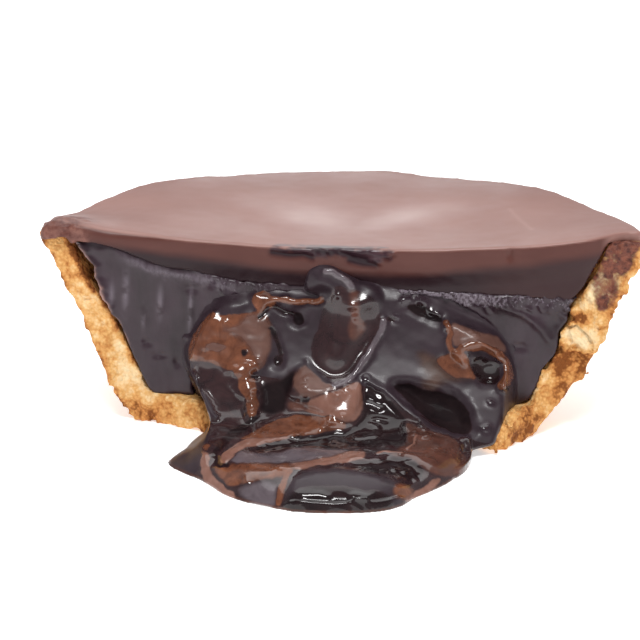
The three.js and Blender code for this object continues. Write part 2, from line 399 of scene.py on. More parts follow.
# ---------------------------------------------------------------- crust
CRACK = [(32.6, 17.9), (33.6, 17.4), (34.6, 16.6), (35.8, 16.9), (36.6, 16.2), (37.6, 15.2), (38, 14.3)]
SMUDGE = [(36.4, 27.5), (38.8, 30), (44.4, 30), (43.8, 28.5), (42.8, 26.5), (41.6, 24), (40.2, 20.8),
    (38.6, 20.4), (37.4, 22), (36, 23.5), (35.4, 25.5)]
# knobs of the broken floor's edge: middle and radius
KNOBS = [(23.6, -9.4, 1.7, 1.5), (26.1, -8.2, 4.9, 0.8), (28.6, -7.2, 4.4, 0.7)]
# forms of the broken wall at the right, over x and z: middle, half widths, how far they stand out
WALL_FORMS = [(37.2, 14.2, 2.2, 1.3, 0.9), (36, 11.6, 1.7, 1.4, -1), (36.4, 18.6, 1.6, 1.1, 0.7)]
# darker patches, over x and z: middle, half widths, how dark; the first, in the hollow of the broken wall, is
# painted shade, the others darker baking; the second lot only shows on the cut
DARKER_BAKED_AND_SHADED = [(36, 11.6, 2, 1.6, 0.45), (33.8, 9, 1.2, 3, 0.5), (-35.9, 11, 1.2, 2, 0.5)]
BAKED_AT_CUT = [(36.2, 18.2, 1.2, 0.6, 0.9), (37.2, 14.4, 2, 1.1, -0.4)]


def crust_field(x, y, z):
    r = np.hypot(x, y)
    swell = (0.4 * lumps(x, y, z) + 0.9 * bell(x - 42, 6) * bell(y, 14)) * ramp(z, 0.6, 5)
    top = CRUST_TOP + rim_wave(x, y) + left_lift(x, y)
    tucked = 1.9 * (1 - ramp(z, 2, 10)) * ramp(x, 18, 28) * (1 - ramp(y, 2, 9))
    outside = (r - outer_radius(z) - swell + tucked) * LEAN
    cavity = soft_max((r - inner_face(x, y, z) - 0.5 * swell) * LEAN, FLOOR - z, 1.6)
    shell = soft_max(outside, -cavity, 0.5)
    shell = soft_max(shell, z - top, 0.8)
    front = crust_front(x, z) - y - mounds(x, z, WALL_FORMS)
    front = front + 0.9 * bell(line_distance((x, z), CRACK), 0.15)
    shell = soft_max(shell, front, 0.5)
    chip = np.sqrt(((x - 37.4) / 2.1) ** 2 + ((y + 1) / 4) ** 2 + ((z - 5.4) / 3.2) ** 2)
    shell = soft_max(shell, (1 - chip) * 2.1, 0.4)
    for at_x, at_y, at_z, size in KNOBS:
        knob = np.sqrt((x - at_x) ** 2 + (y - at_y) ** 2 + (z - at_z) ** 2) - size
        shell = soft_min(shell, knob, 0.4)
    return soft_max(shell, -z, 1.0)


def crumb(points):
    """The relief of baked pastry: lumps, crumb and open pits, rougher where it was broken."""
    x, y, z = points.T
    cut = 1 - ramp(y - crust_front(x, z), 0.4, 1.6)
    right = ramp(x, 0, 20)
    low = 1 - ramp(z, 3, 9)
    broken = cut * (0.45 + 0.55 * np.maximum(right, low))
    coarse = layers(points, 3.4, 3, 3, 0.55) * (0.28 + 0.57 * broken)
    grain = (nearest_seed(points, 1.15, 11) - 0.5) * (0.22 + 1.0 * broken)
    pits = np.maximum(0, 0.32 - nearest_seed(points * [1, 0.6, 1], 2.6, 12)) * 2.2 * (0.3 + 0.7 * cut)
    smeared = cut * ramp(inside_outline(x, z, SMUDGE), -0.5, 0.5)
    return (coarse * 0.9 + grain * 0.55 + pits) * (1 - 0.55 * smeared)


def crust_masks(points):
    """How far the pastry is baked, with painted shade in a hollow of the broken wall; where chocolate lies on
    it; and where it is charred at its inner edge, with painted shade in the crack.
    """
    x, y, z = points.T
    r = np.hypot(x, y)
    cut = 1 - ramp(y - crust_front(x, z), 0.2, 1.4)
    wander = layers(points, 4.5, 21, 3)
    fine = layers(points, 1.6, 25, 2)
    right = ramp(x, 0, 20)
    inner_edge = ramp(r - inner_face(x, y, z), 1.1, 0.1) * ramp(z, 6, 12)
    outer_edge = 1 - ramp(outer_radius(z) - r, 0.1, 1.0)
    base = 1 - ramp(z, 2.5, 6.5)
    upper_left = ramp(z, 16, 25) * (1 - right)
    bake = 0.34 + 0.34 * wander + 0.22 * fine + 0.42 * inner_edge + 0.25 * outer_edge + 0.315 * base
    # with painted shade in the hollow of the broken wall
    bake = bake + mounds(x, z, DARKER_BAKED_AND_SHADED) + mounds(x, z, BAKED_AT_CUT) * cut
    bake = bake + 0.03 * right + 0.28 * upper_left
    bake = bake + (1 - cut) * (0.28 - 0.5 * bake)
    smudge = ramp(inside_outline(x, z, SMUDGE) + 0.9 * wander + 0.9 * fine, -1.6, 0.8) * cut
    chocolate = smudge * (0.62 + 0.38 * ramp(wander - fine, -0.3, 0.3))
    under_topping = ramp(z - rim_wave(x, y) - 2 * left_lift(x, y) + 0.8 * wander, 28.3, 29.2)
    # painted shade: the crack is darkened with the burnt colour
    crack = bell(line_distance((x, z), CRACK), 0.25) * cut
    char_and_crack_shade = ramp(0.6 * crack + 0.45 * inner_edge * ramp(fine, 0.2, 0.7), 0.3, 0.9)
    return {"bake": bake, "chocolate": np.maximum(chocolate, under_topping), "char_and_crack_shade": char_and_crack_shade}


def build_crust():
    places = even(-46.2, 46.6), graded(-16, 47, 2.5), even(-0.5, 31)
    axes = grid(*places)
    field = roughen(crust_field(*axes), axes, 1.3, crumb)
    field = np.maximum(field, -axes[2])
    points, faces = net(field, places)
    piece = make_piece("crust_baked", points, faces, crust_material(), crust_masks(points))
    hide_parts("crust")


# ---------------------------------------------------------------- filling
def filling_edge(x, z):
    """How far inside the crust's inner face the filling stops at the left of the cut: the gap there."""
    ragged = 0.5 * np.sin(0.9 * z + 1.6) + 0.3 * np.sin(2.07 * z + 0.4)
    ragged = ragged + 0.12 * np.sin(3.7 * z * (1 + 0.01 * z))
    return ramp(-x, 25, 32) * (1.9 * bell(z - 24.6, 2.1) + 0.6 * ragged * ramp(z, 12, 17) + 0.25)


# over x and z: middle, half height and half width
STREAKS = [(-32.2, 21, 2, 0.55), (-27, 19.2, 1.6, 0.5), (-22.4, 18.2, 2.4, 0.35), (-34.4, 20.4, 1.2, 0.5),
    (-29.6, 17, 1, 0.3)]
# over x and z: middle, half width, half height, depth
PITS = [(-22, 21.6, 0.9, 0.45, 0.4), (-29.2, 12.8, 0.5, 0.4, 0.4), (-27.3, 10.8, 0.7, 0.3, 0.4),
    (-24.6, 9.6, 0.35, 0.5, 0.4), (-18.4, 21.5, 0.5, 1.1, 0.4), (33, 17.4, 0.6, 0.8, 0.4),
    (27.4, 13.5, 0.9, 0.5, 0.4)]
TEAR = [(22, 20.6), (24.3, 19.9), (27.3, 18.9), (29.2, 17.6), (30.6, 16.4), (31.9, 14.6)]


def left_edge(x, z):
    """How far from the filling's left edge a place on the cut is."""
    return inner_face(x, 0, z) - filling_edge(x, z) + x


def streaks(x, z, narrowed):
    """Where the knife left its streaks, which lean a little."""
    return sum(bell(x - at_x - 0.06 * (z - at_z), narrowed * wide) * bell(z - at_z, tall)
               for at_x, at_z, tall, wide in STREAKS)


def torn_stretch(x, left, right):
    """Where the filling is torn under the topping: from x = 8 to the right, and more faintly at the left."""
    return right * ramp(x, 6, 10) + left * ramp(x, -26, -19) * (1 - ramp(x, -9, -5))


def filling_front(x, z):
    """The cut face of the filling: knife streaks, pits, and the torn ledge under the topping."""
    top = topping_underside(x)
    face = -0.4 + 0.3 * lumps(0.6 * x, 9, 0.4 * z)
    face = face - 0.28 * streaks(x, z, 1) + mounds(x, z, PITS)
    ledge = torn_stretch(x, 0.8, 1 - ramp(x, 33, 36))
    face = face - 0.25 * ledge * ramp(z, top - 3.6, top - 1.2)
    ridge_height = top - 1 - 0.3 * np.sin(0.8 * x) - 0.2 * np.sin(1.7 * x)
    face = face - 0.3 * ramp(-x, 14, 18) * bell(z - ridge_height, 0.7)
    face = face - 0.45 * bell(line_distance((x, z), TEAR), 0.45)
    lip = ramp(-x, 28, 33) * ramp(z, 16, 20)
    return face - 0.8 * lip * bell(left_edge(x, z) - 0.3, 0.5)


def filling_field(x, y, z):
    r = np.hypot(x, y)
    wall = (r - inner_face(x, y, z) + 0.1 + filling_edge(x, z) * (1 - ramp(y, 2, 6))) * LEAN
    swell = 0.2 * lumps(x, y, z) * ramp(z, 0.6, 5)
    body = soft_max(wall - swell, FLOOR + 0.1 - z, 1.4)
    body = np.maximum(body, z - topping_underside(x) - 0.25)
    body = soft_max(body, filling_front(x, z) - y, 0.2)
    core = y - MOLTEN_DEPTH * sauce_fullness(x, z) + 1.2
    return np.maximum(body, np.where(sauce_fullness(x, z) > 0.3, -core * 0.5, -9))


def filling_relief(points):
    x, y, z = points.T
    top = topping_underside(x)
    front = 1 - ramp(y, 0.6, 2)
    torn = np.clip(torn_stretch(x, 0.8, 1) * ramp(z, top - 3.4, top - 2.0), 0, 1) * front
    slanted = np.stack([x + z, y, 0.5 * (z - x)], 1)
    grain = (noise(slanted, 0.9, 41) * 0.4 + noise(points, 2.2, 42) * 0.3) * torn
    soft = layers(points * [1, 1, 0.5], 2.4, 44, 2) * 0.1
    return grain + soft + noise(points, 0.7, 47) * 0.025


def filling_masks(points):
    x, y, z = points.T
    top = topping_underside(x)
    front = 1 - ramp(y, 0.6, 2)
    ragged = layers(points, 1.3, 48, 2)
    torn = np.clip(torn_stretch(x, 0.7, 1) * ramp(z, top - 4.0, top - 0.8), 0, 1) * front
    lip = ramp(-x, 27, 31) * bell(left_edge(x, z) - 0.15 + 0.3 * ragged, 0.22) * front
    lip = lip * ramp(ragged + ramp(z, 14, 20), -0.1, 0.5)
    # painted highlight: a lighter line on the real ridge under the topping's edge at the left, where it catches
    # the light
    ridge = ramp(-x, 14, 18) * (1 - ramp(-x, 30, 34)) * bell(z - top + 1.0 + 0.7 * ragged, 0.5) * front
    # painted highlight: a paler tone along the knife streaks, where their ridges catch the light
    painted_streak_sheen = streaks(x, z, 0.6) * front * ramp(ragged, -0.5, 0.1)
    return {"torn": torn * (1 - 0.25 * ramp(x, 18, 30)), "ridge": ridge, "lip": lip, "painted_streak_sheen": painted_streak_sheen}


def build_filling():
    places = even(-42, 38.5), graded(-2.6, 37, 2.5), even(3.8, 29.4)
    axes = grid(*places)
    field = roughen(filling_field(*axes), axes, 0.7, filling_relief)
    points, faces = net(field, places)
    piece = make_piece("filling_cut", points, faces, filling_material(), filling_masks(points))
    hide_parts("filling")


# ---------------------------------------------------------------- topping
SMEAR = [(-10.5, 28.2), (-9.4, 28.9), (-2, 29), (4, 29), (8.6, 28.6), (8.2, 27.2), (7.2, 26.4), (5.6, 26),
    (3.6, 26.2), (1.6, 26.8), (0.3, 27.3), (-1.9, 26.9), (-3.8, 26.8), (-4.9, 27.4), (-7.1, 27.2),
    (-9.8, 27.4)]
SMEAR_DARK = [
    [(-9.8, 27.6), (-7.1, 27.3), (-4.9, 27.5), (-3.8, 27)],
    [(-3.2, 28), (0.2, 27.9), (2.6, 27.1), (4.2, 26.8)],
    [(1.8, 26.6), (3.6, 26.1), (5.6, 26)],
]
SMEAR_RIDGES = [
    [(-3, 28.5), (-1.4, 28.1), (0, 27.6)],
    [(0.6, 28.3), (3.6, 27.8), (7.4, 27.4)],
    [(-8, 28.3), (-4, 28)],
]
SMEAR_BEADS = [(4.4, 28.6), (7.6, 27.5), (8.4, 28), (6.2, 26.4), (-1.5, 28.1)]
SCRATCH = [(25.6, 20), (26.8, 15), (28.9, 8)]


def topping_front(x, z):
    """The topping's cut edge, with the smear on it."""
    depth = topping_top(x, 0 * x) - z
    face = -1.3 + 0.9 * ramp(depth, 3, 6.4) + 3.2 * ramp(x, 36, 44) + 0.2 * np.sin(0.35 * x)
    smear = sum(0.22 * bell(line_distance((x, z), ridge), 0.35) for ridge in SMEAR_RIDGES)
    smear = smear - sum(0.3 * bell(line_distance((x, z), stroke), 0.3) for stroke in SMEAR_DARK)
    for at_x, at_z in SMEAR_BEADS:
        smear = smear + 0.45 * bell(np.hypot(x - at_x, z - at_z), 0.4)
    face = face - smear - 0.1 * ramp(inside_outline(x, z, SMEAR), -0.2, 0.8)
    return face + 0.4 * bell(x - 25.6, 0.35) * bell(z - 27.9, 0.6)


def topping_field(x, y, z):
    r = np.hypot(x, y)
    side = r - RIM_RADIUS - 0.1 + 0.12 * np.sin(0.5 * x + 0.3 * y)
    rim_rounding = 1.4 + 1.8 * ramp(-x, 36, 40) * (1 - ramp(y, 2, 6))
    body = soft_max(z - topping_top(x, y), side, rim_rounding)
    body = soft_max(body, topping_front(x, z) - y, 0.45 + 1.1 * ramp(-x, 20, 36))
    over_wall = ramp(r - inner_face(x, y, z), -0.6, 0.2)
    shelf = CRUST_TOP + rim_wave(x, y) - 0.15 - 0.4 * ramp(r, 42, 45)
    under = topping_underside(x) * (1 - over_wall) + shelf * over_wall
    return soft_max(body, (under - z) * 0.8, 0.2)


def topping_relief(points):
    x, y, z = points.T
    depth = topping_top(x, y) - z
    low_band = ramp(depth, 2.6, 4.4) * (1 - ramp(y, 0.5, 2))
    rim = ramp(np.hypot(x, y), 41, 44)
    left_end = ramp(-x, 37, 40) * ramp(4 - y, 0, 3)
    relief = noise(points, 7, 61) * 0.06 + noise(points, 2.2, 62) * 0.03
    relief = relief + layers(points, 1.6, 63, 2) * 0.05 * low_band
    relief = relief + layers(points, 3.2, 65, 2) * 0.12 * rim
    return relief + layers(points, 1.8, 67, 2) * 0.45 * left_end


def topping_masks(points):
    x, y, z = points.T
    depth = topping_top(x, y) - z
    front = 1 - ramp(y + 1.2, 0.9, 2.2)
    wander = layers(points * [0.5, 1, 1], 3, 71, 2)
    fine = layers(points, 1.2, 73, 2)
    limit = 2.7 - 0.5 * ramp(-x, 10, 30) + 1.0 * bell(x - 3, 12) - 0.4 * ramp(x, 24, 34)
    dark = ramp(depth + 0.25 * wander, limit - 0.6, limit + 1.3) * front * (1 - 0.2 * ramp(x, 16, 28))
    strokes = sum(bell(line_distance((x, z), line), 0.35) for line in SMEAR_DARK)
    # painted highlight: two soft lighter patches on the top, a little back from the cut, where the top catches
    # the light
    painted_highlight_spots = np.maximum(bell(x + 3 + 0.5 * (y - 14), 5), bell(x - 6 - 0.8 * (y - 14), 4))
    return {
        # painted shade: the top made darker towards the back
        "back": ramp(y, 20, 40) * (1 - front),
        "band": ramp(depth + 0.1 * wander, 0.15, 0.5) * front,
        "painted_highlight": painted_highlight_spots * bell(y - 15, 5) * (1 - front),
        "dark": dark,
        "rim": ramp(-x + 1.5 * wander, 36, 39) * ramp(6 - y, 0, 4),
        "scratch": bell(line_distance((x, y), SCRATCH), 0.25) * (1 - front),
        "smear": ramp(inside_outline(x, z, SMEAR) + 0.6 * fine, -0.2, 0.7) * front,
        "stroke": strokes * front,
    }


def build_topping():
    places = even(-46.4, 46.4), graded(-3.2, 46.6, 1.5), even(20.2, 32.2, 0.25)
    axes = grid(*places)
    field = roughen(topping_field(*axes), axes, 0.7, topping_relief)
    points, faces = net(field, places)
    piece = make_piece("topping_set", points, faces, topping_material(), topping_masks(points))
    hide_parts("topping")


# ---------------------------------------------------------------- sauce
DRIP = [(-4.4, 25.4), (-2.7, 26.3), (-0.6, 26.1), (1.7, 24.3), (3.8, 23.2), (5.9, 22.7), (6.7, 20.9),
    (6.3, 18.8), (5.4, 17.3), (4.7, 15.1), (3.4, 12.8), (2.2, 11.1), (0.4, 10.1), (-1.2, 10.5),
    (-2.7, 11.5), (-3.4, 13), (-3.2, 15.5), (-2.5, 16.6), (-2, 18.9), (-1.7, 20.4), (-2.9, 21.3),
    (-4.7, 21.7), (-5.1, 22.7), (-4.7, 24.1)]
TONGUE = [(-6.3, 11.3), (-4.7, 12.4), (-3.2, 11.4), (-1.2, 10.2), (0.7, 9.8), (2.5, 10.8), (3.6, 10.5),
    (4.3, 9), (4.3, 7), (3.6, 5.7), (2.5, 4.8), (0.5, 5), (-1.7, 5.8), (-5, 6.5), (-7.1, 7.5), (-7.3, 8.3),
    (-6.7, 9.6)]
PUDDLE = [(-24.2, -18.1), (-21.6, -21.6), (-17.8, -24.6), (-14.4, -29.4), (-10.7, -32.9), (-6.4, -35.1),
    (0.5, -35.6), (8, -34.7), (11.2, -32), (14.5, -27.4), (17.9, -22.8), (20.4, -17.3), (20.2, -12.6),
    (18.5, -7), (12, 1), (-14, 1), (-20.4, -4.4), (-21.5, -9.1), (-22.6, -14)]
MOLTEN = [(-18.8, -1), (-19.6, 3), (-20.6, 5), (-21.9, 7.6), (-22.9, 9.9), (-23.1, 12.5), (-22.4, 15),
    (-21.2, 17.2), (-19.4, 19.4), (-17, 20.9), (-12.4, 22.2), (-5, 22), (3, 22.4), (9, 22.6), (14, 21.4),
    (18.5, 18.9), (22.5, 17.2), (25.2, 14.8), (26.6, 11.4), (27, 8), (27.2, 5.6), (26.6, 3.5), (25.8, 1.5),
    (25, -1)]
# What the sauce shows, over x and over the height less half the way out from the cut: one flat chart for the
# steep face and the puddle. Each area: tone, how far it stands out, how soft its edge is, outline. Later
# areas cover earlier ones.
AREAS = {
    "face": ("grey", 0, 0.25, [(-26, 8), (-26, 26), (28, 26), (28, -3), (21, -4), (14, 0), (5, 6),
        (-7, 5.5), (-15, 8)]),
    "left tip": ("grey", 0, 0.8, [(-26, -13), (-26, -1), (-19.6, -0.5), (-17.6, -4), (-18, -8),
        (-18.6, -12)]),
    "patch": ("brown", 0.5, 0.25, [(-22.6, 9.5), (-22.3, 13), (-21, 15), (-19.1, 18), (-18.3, 16.8),
        (-13.9, 17), (-10, 18.3), (-9.9, 11), (-11, 7.5), (-15, 7), (-17.5, 8.5), (-21.5, 9)]),
    "patch skin": ("skin", 0.1, 0.9, [(-17.5, 14.6), (-14.5, 15.2), (-13.5, 17), (-10.6, 17.2), (-9.9, 15),
        (-9.9, 10.5), (-11.2, 8.2), (-12.2, 10), (-13.5, 12.4), (-15.6, 13.6)]),
    "cap": ("grey", 0.5, 0.25, [(-18.5, 19), (-16.4, 19.6), (-14.6, 19.4), (-13.2, 18.2), (-14.3, 17),
        (-17.8, 17)]),
    "patch rim": ("brown", 0.4, 0.25, [(-13, 20.1), (-11.5, 21.4), (-10.2, 20.9), (-8.8, 19), (-10.1, 18),
        (-11.3, 16.8), (-12.4, 18)]),
    "left film": ("deep", -0.1, 0.9, [(-21.4, 8.9), (-17.5, 8.3), (-15.6, 6), (-14.4, 3), (-12.8, -0.5),
        (-17, -1), (-18.8, 1.5), (-20.6, 5)]),
    "rivulet": ("brown", 0.9, 0.25, [(-15.6, 8.2), (-14.5, 6), (-14, 4), (-13, 2), (-12.4, -1),
        (-11.2, -0.5), (-10.9, 1.5), (-11.8, 4.7), (-12, 6.4), (-13, 8.4)]),
    # painted shade: a near-black matte tone in the dark dip below the grey middle
    "between": ("pit", -0.3, 0.9, [(-11, 5.4), (-7.6, 6), (-6.4, 7.8), (-5.5, 7.5), (-5.9, 5.2),
        (-7.2, 2.5), (-7.2, 0.6), (-10.6, 0), (-10.9, 3)]),
    "lobe": ("skin", 0.5, 0.7, [(-5.9, 7.5), (-4.6, 9), (-3.6, 7.6), (-1.6, 6.2), (0.6, 5.2), (0, 4.2),
        (-2.2, 3), (-4.6, 2.6), (-5.8, 4.5)]),
    "drip": ("deep", 0, 0.6, [(0, 22), (2.4, 21), (5.2, 20.4), (6.6, 18.5), (6.6, 16), (5, 12.5), (3, 8.8),
        (1.4, 5.8), (-1.4, 6.6), (-3.6, 9.4), (-3.6, 12.5), (-2.4, 16.5), (-1.8, 19)]),
    "drip glow": ("warm", 0, 1, [(1.8, 21.2), (3.2, 21.2), (3.4, 18), (4.6, 16.2), (4, 14), (2.4, 12.6),
        (1.5, 14.5), (2.2, 18)]),
    "hood": ("grey", 0, 0.5, [(-4.4, 25), (-2.5, 26), (0, 25.4), (1.5, 24), (4, 22.4), (6.4, 21.6),
        (6, 20.8), (2.8, 21.3), (1.2, 22), (-0.3, 22), (-1.7, 21.5), (-2.8, 20.3), (-4.8, 20.2),
        (-4.6, 22.5)]),
    "tongue": ("light", 0.2, 0.4, [(-6.6, 2.2), (-5.2, 2.8), (-3.8, 2.6), (-0.8, 3.4), (0.8, 4.7),
        (3.8, 6.2), (4.3, 3.5), (4.4, 1), (2.9, -1.3), (0.6, -0.7), (-3, 0.6), (-6, 0.9)]),
    "tongue end": ("warm", 0, 0.8, [(-6.9, 2), (-5.4, 2.9), (-4, 2.2), (-3.6, 1), (-6, 0.6)]),
    # painted shade: near-black and matte in the cleft
    "cleft": ("pit", -0.9, 0.25, [(10.2, 19.4), (12.4, 19.6), (14.9, 18), (16, 17.2), (15.6, 16.5),
        (13.1, 17), (10.4, 18.6)]),
    "swirl": ("skin", 0.5, 0.5, [(17.1, 16.4), (19, 16), (21, 15), (23.8, 14.9), (25.2, 13.8), (25.4, 12.2),
        (23.5, 12), (21, 12.5), (18, 12.2), (17, 14)]),
    "swirl foot": ("haze", 0, 1.7, [(12.2, 11.9), (15, 10.4), (17, 10.6), (19.9, 9.4), (21, 7.2), (18, 7),
        (16, 6.4), (14.3, 4.9), (13.2, 5.6), (14, 7.5), (12.7, 9.5)]),
    "swirl arc": ("brown", 0.2, 0.4, [(14.8, 10.2), (17, 11.4), (18.4, 12.3), (19.6, 11), (20.2, 9),
        (21.5, 7.2), (19.5, 7), (17, 7.8), (15.8, 9)]),
    "crater": ("dark", -1.2, 0.25, [(20, 10.6), (21.2, 11.2), (22.9, 10.9), (24.4, 9.8), (24.6, 8),
        (23.9, 6.5), (22.2, 6.4), (21.1, 7.6)]),
    # painted shade: near-black and matte in the hollow
    "hollow": ("pit", -1.8, 0.25, [(8.4, 5.8), (10.5, 6.3), (13.4, 5.2), (17.4, 4.8), (19.9, 2), (20.9, -1),
        (19.6, -2.8), (15.6, -1.4), (12.2, 1.8), (9.8, 4)]),
    "right fold": ("warm", 0.3, 0.6, [(10.4, -0.8), (12.5, -1.4), (15, -2.4), (18, -3.2), (19.2, -5),
        (20.2, -8.6), (18, -10.2), (15.5, -10.6), (13.5, -8.6), (11, -7.4), (8.6, -7.2), (11.2, -5.4),
        (11.2, -3)]),
    "right end": ("warm", 0, 0.9, [(17.6, -5.5), (18.6, -5), (20.4, -8.6), (18.4, -10), (16.6, -9.6),
        (17.6, -8)]),
    "dark arc": ("dark", -0.1, 0.25, [(-10.5, -1), (-13, -3.5), (-14.8, -5.8), (-15.9, -9), (-16.8, -8.4),
        (-16, -5), (-14, -2), (-11.5, -0.2)]),
    "band": ("brown", 0.4, 0.25, [(2.9, -1.6), (0.2, -0.4), (-4, 0), (-7, -0.4), (-10, -2.2), (-13.4, -5),
        (-10.5, -4.9), (-5, -4.3), (-0.5, -2.9)]),
    "band edge": ("light", 0.25, 0.25, [(-4.6, -4.2), (-9.6, -4.6), (-12.2, -5), (-14.3, -7), (-15.4, -9.3),
        (-14, -10), (-13.1, -8), (-11.6, -6.6), (-8.5, -5.6)]),
    "flow": ("dark", -0.5, 0.25, [(4.6, 5.6), (6.4, 5), (8.4, 3.2), (11, -0.2), (10.9, -3), (11.2, -4.6),
        (9.5, -5.4), (5, -5.7), (0, -6), (-3, -5.8), (-6, -6.6), (-9.5, -7.6), (-10.8, -6.4), (-8, -5.4),
        (-4, -4.6), (-0.5, -3.2), (2.6, -2.4), (4.5, -0.4), (4.7, 3)]),
    # painted reflection: the pale blue-grey band on the puddle, where it mirrors the bright room
    "grey band": ("painted_sheen", 0.1, 0.5, [(-13.4, -8.6), (-11.8, -7.1), (-10.4, -7.8), (-7.5, -7.7), (-4, -6.3),
        (0, -6.3), (4, -6.6), (0.5, -8.1), (-4, -9.5), (-9, -9.6), (-13, -9.7)]),
    "streak": ("light", 0.4, 0.25, [(4.6, -6.2), (5.3, -7), (5.6, -8.5), (2.6, -9.3), (-1.5, -10.3),
        (-4.5, -11.1), (-7, -11.4), (-5, -9.8), (0, -8.4), (3, -7.2)]),
    "streak end": ("brown", 0.25, 0.5, [(-4.2, -9.8), (-9, -9.7), (-13, -9.9), (-15.7, -9.8),
        (-15.2, -11.4), (-13.8, -13), (-12.5, -13.6), (-11, -13.2), (-7.5, -12.7), (-5.5, -12.1),
        (-4, -11)]),
    "dome": ("grey", 0.7, 0.7, [(-4.8, -19), (-4.5, -13), (-2.8, -11.1), (1, -10.3), (5, -10.6), (9, -11.6),
        (11.3, -12.4), (12, -14), (12, -19)]),
    "dome foot": ("dark", 0, 0.9, [(-4.8, -19), (-4.4, -14.6), (0, -13.6), (6, -13.8), (10.4, -14.6),
        (10, -19)]),
    # painted reflection: pale blue-grey on the dome's left foot
    "left foot": ("painted_sheen", 0, 0.8, [(-11.4, -13.8), (-8.5, -13.1), (-6.1, -13), (-6, -15), (-5.8, -17),
        (-9, -17), (-11, -15.4)]),
    "right pool": ("dark", -0.4, 0.25, [(3, -9.9), (6, -8.6), (9, -7.9), (12.5, -8), (14, -9.4),
        (14.3, -10.9), (12, -11.6), (8, -10.9), (5.5, -10.3)]),
    "left rim": ("light", 0.2, 0.25, [(-18.2, -7), (-17, -7.4), (-16.3, -11), (-14.8, -13), (-11.4, -15.3),
        (-12.5, -16), (-15.4, -14.6), (-17.8, -11.8)]),
    "right rim": ("light", 0.1, 0.25, [(16.6, -10.6), (16.4, -12), (14.2, -14), (12, -15.6), (11.5, -14.6),
        (13.6, -12.8)]),
    "dome side": ("brown", 0, 0.8, [(10.4, -12.3), (12, -12.6), (12.8, -14), (11.4, -15.2), (9.8, -14.4)]),
}
# tone, how far it stands out, half width, line; one without a tone is a ridge that is wet
STRANDS = [
    ("grey", 0.7, 0.45, [(-23, 13.5), (-22.9, 10.5), (-22.7, 8.5), (-20.9, 5.2), (-19.2, 2.3),
        (-17.6, -0.6)]),
    # painted highlight: the pale blue-grey ridge down the drip's right edge
    ("painted_sheen", 0.5, 0.5, [(7, 16.6), (6.4, 14.3), (5.4, 11.8), (4.4, 10), (3.2, 7.8), (1.8, 6.1),
        (0.2, 5.4)]),
    ("grey", 0.2, 0.3, [(-0.6, 5.8), (-2.5, 6.9), (-3.8, 8.6), (-4.3, 9.6)]),
    # painted highlight: the pale blue-grey ridge on the hood
    ("painted_sheen", 0.6, 0.5, [(-1.4, 24.1), (0.3, 23.3), (1.3, 22.8), (2.2, 21.7)]),
    ("grey", 0.5, 0.4, [(5.6, 5.9), (8.2, 4), (10.8, 2), (14, -1), (15.9, -2.1), (18.4, -2.6)]),
    ("", 0.4, 0.3, [(12.8, -0.9), (13.9, -1.9)]),
    ("brown", 0.9, 0.7, [(19.1, 12.2), (20.5, 12.6), (22, 12.5), (23.8, 11.8), (25.2, 10.6), (25.9, 9.2),
        (25.9, 7.8), (24.9, 6.4)]),
    ("brown", 0.4, 0.4, [(16.4, 16.6), (16.9, 14.5), (16.8, 12.8), (17.8, 11.2), (19.2, 9.6)]),
    ("brown", 0.4, 0.45, [(-9.4, 20), (-7.6, 19.4), (-5.5, 19.1), (-3.5, 19.3), (-2.4, 19.6)]),
    ("dark", -0.5, 0.3, [(-9.2, 18.4), (-8, 17.7), (-6.6, 17.5)]),
    ("dark", -0.5, 0.35, [(-11.6, 16.6), (-10.9, 17.4), (-10.3, 18.4)]),
    ("dark", -0.3, 0.3, [(-10, 14.7), (-9.4, 14), (-8.5, 12.2), (-8.3, 10.6)]),
    ("dark", -0.4, 0.35, [(-18.2, 20.5), (-16.8, 20.9), (-15.8, 21.3)]),
    ("brown", 0.15, 0.4, [(-4.6, -11.4), (-5.3, -13.5), (-5.4, -16.5)]),
    ("dark", -0.1, 0.4, [(-15.7, -8.6), (-15.1, -9.9), (-13.8, -10.2)]),
    ("light", 0.2, 0.2, [(12.6, -3.2), (12, -5), (11.4, -6)]),
    ("light", 0.3, 0.2, [(7.2, -7.2), (9.2, -6.4), (10.6, -6.6)]),
    ("", 0.35, 0.35, [(5.4, 4.6), (6.8, 3.3)]),
    ("", 0.35, 0.35, [(5.4, 2.5), (7, 1.8)]),
    ("", 0.18, 0.3, [(6.2, -0.4), (7.8, -0.5)]),
    ("", 0.18, 0.3, [(5.7, -1.3), (7, -1.9)]),
    ("", 0.3, 0.35, [(3.6, -3.8), (5.4, -3.9), (6.8, -2.8)]),
    ("", 0.3, 0.35, [(7.6, -5), (9.2, -5.2)]),
    ("", 0.3, 0.35, [(0.6, -4.6), (1.4, -5), (2.1, -5.1)]),
    ("", 0.15, 0.3, [(5, 11), (4.2, 9.6), (3, 7.6)]),
    ("", 0.25, 0.5, [(-2.4, -15), (1, -15.2)]),
    ("", 0.3, 0.5, [(4.8, -15), (6.6, -15.1)]),
]
# tone, how far it stands out, middle, half widths
# painted shade: the first spot, near-black and matte, darkens a hole
SPOTS = [("pit", -1.1, -5.9, 16.8, 0.95, 1.1), ("dark", -0.8, -8.6, 9.5, 0.6, 0.8),
    ("dark", -0.5, -11.9, 6.6, 0.8, 0.4), ("dark", -0.5, 8.2, 16.9, 0.6, 0.5),
    # the skin-toned oval at (-18, 11.4) on the left patch is a painted reflection: a lighter colour where a
    # smooth bump mirrors the room
    ("skin", 0.1, -18, 11.4, 1.6, 0.75), ("deep", -0.25, 4.8, 17.6, 1, 1.4),
    ("dark", -0.5, -4.3, 2.6, 0.7, 0.5), ("dark", -0.6, -13.8, 10.6, 0.6, 0.5),
    ("brown", 0, -17.6, -6.6, 0.5, 0.4)]
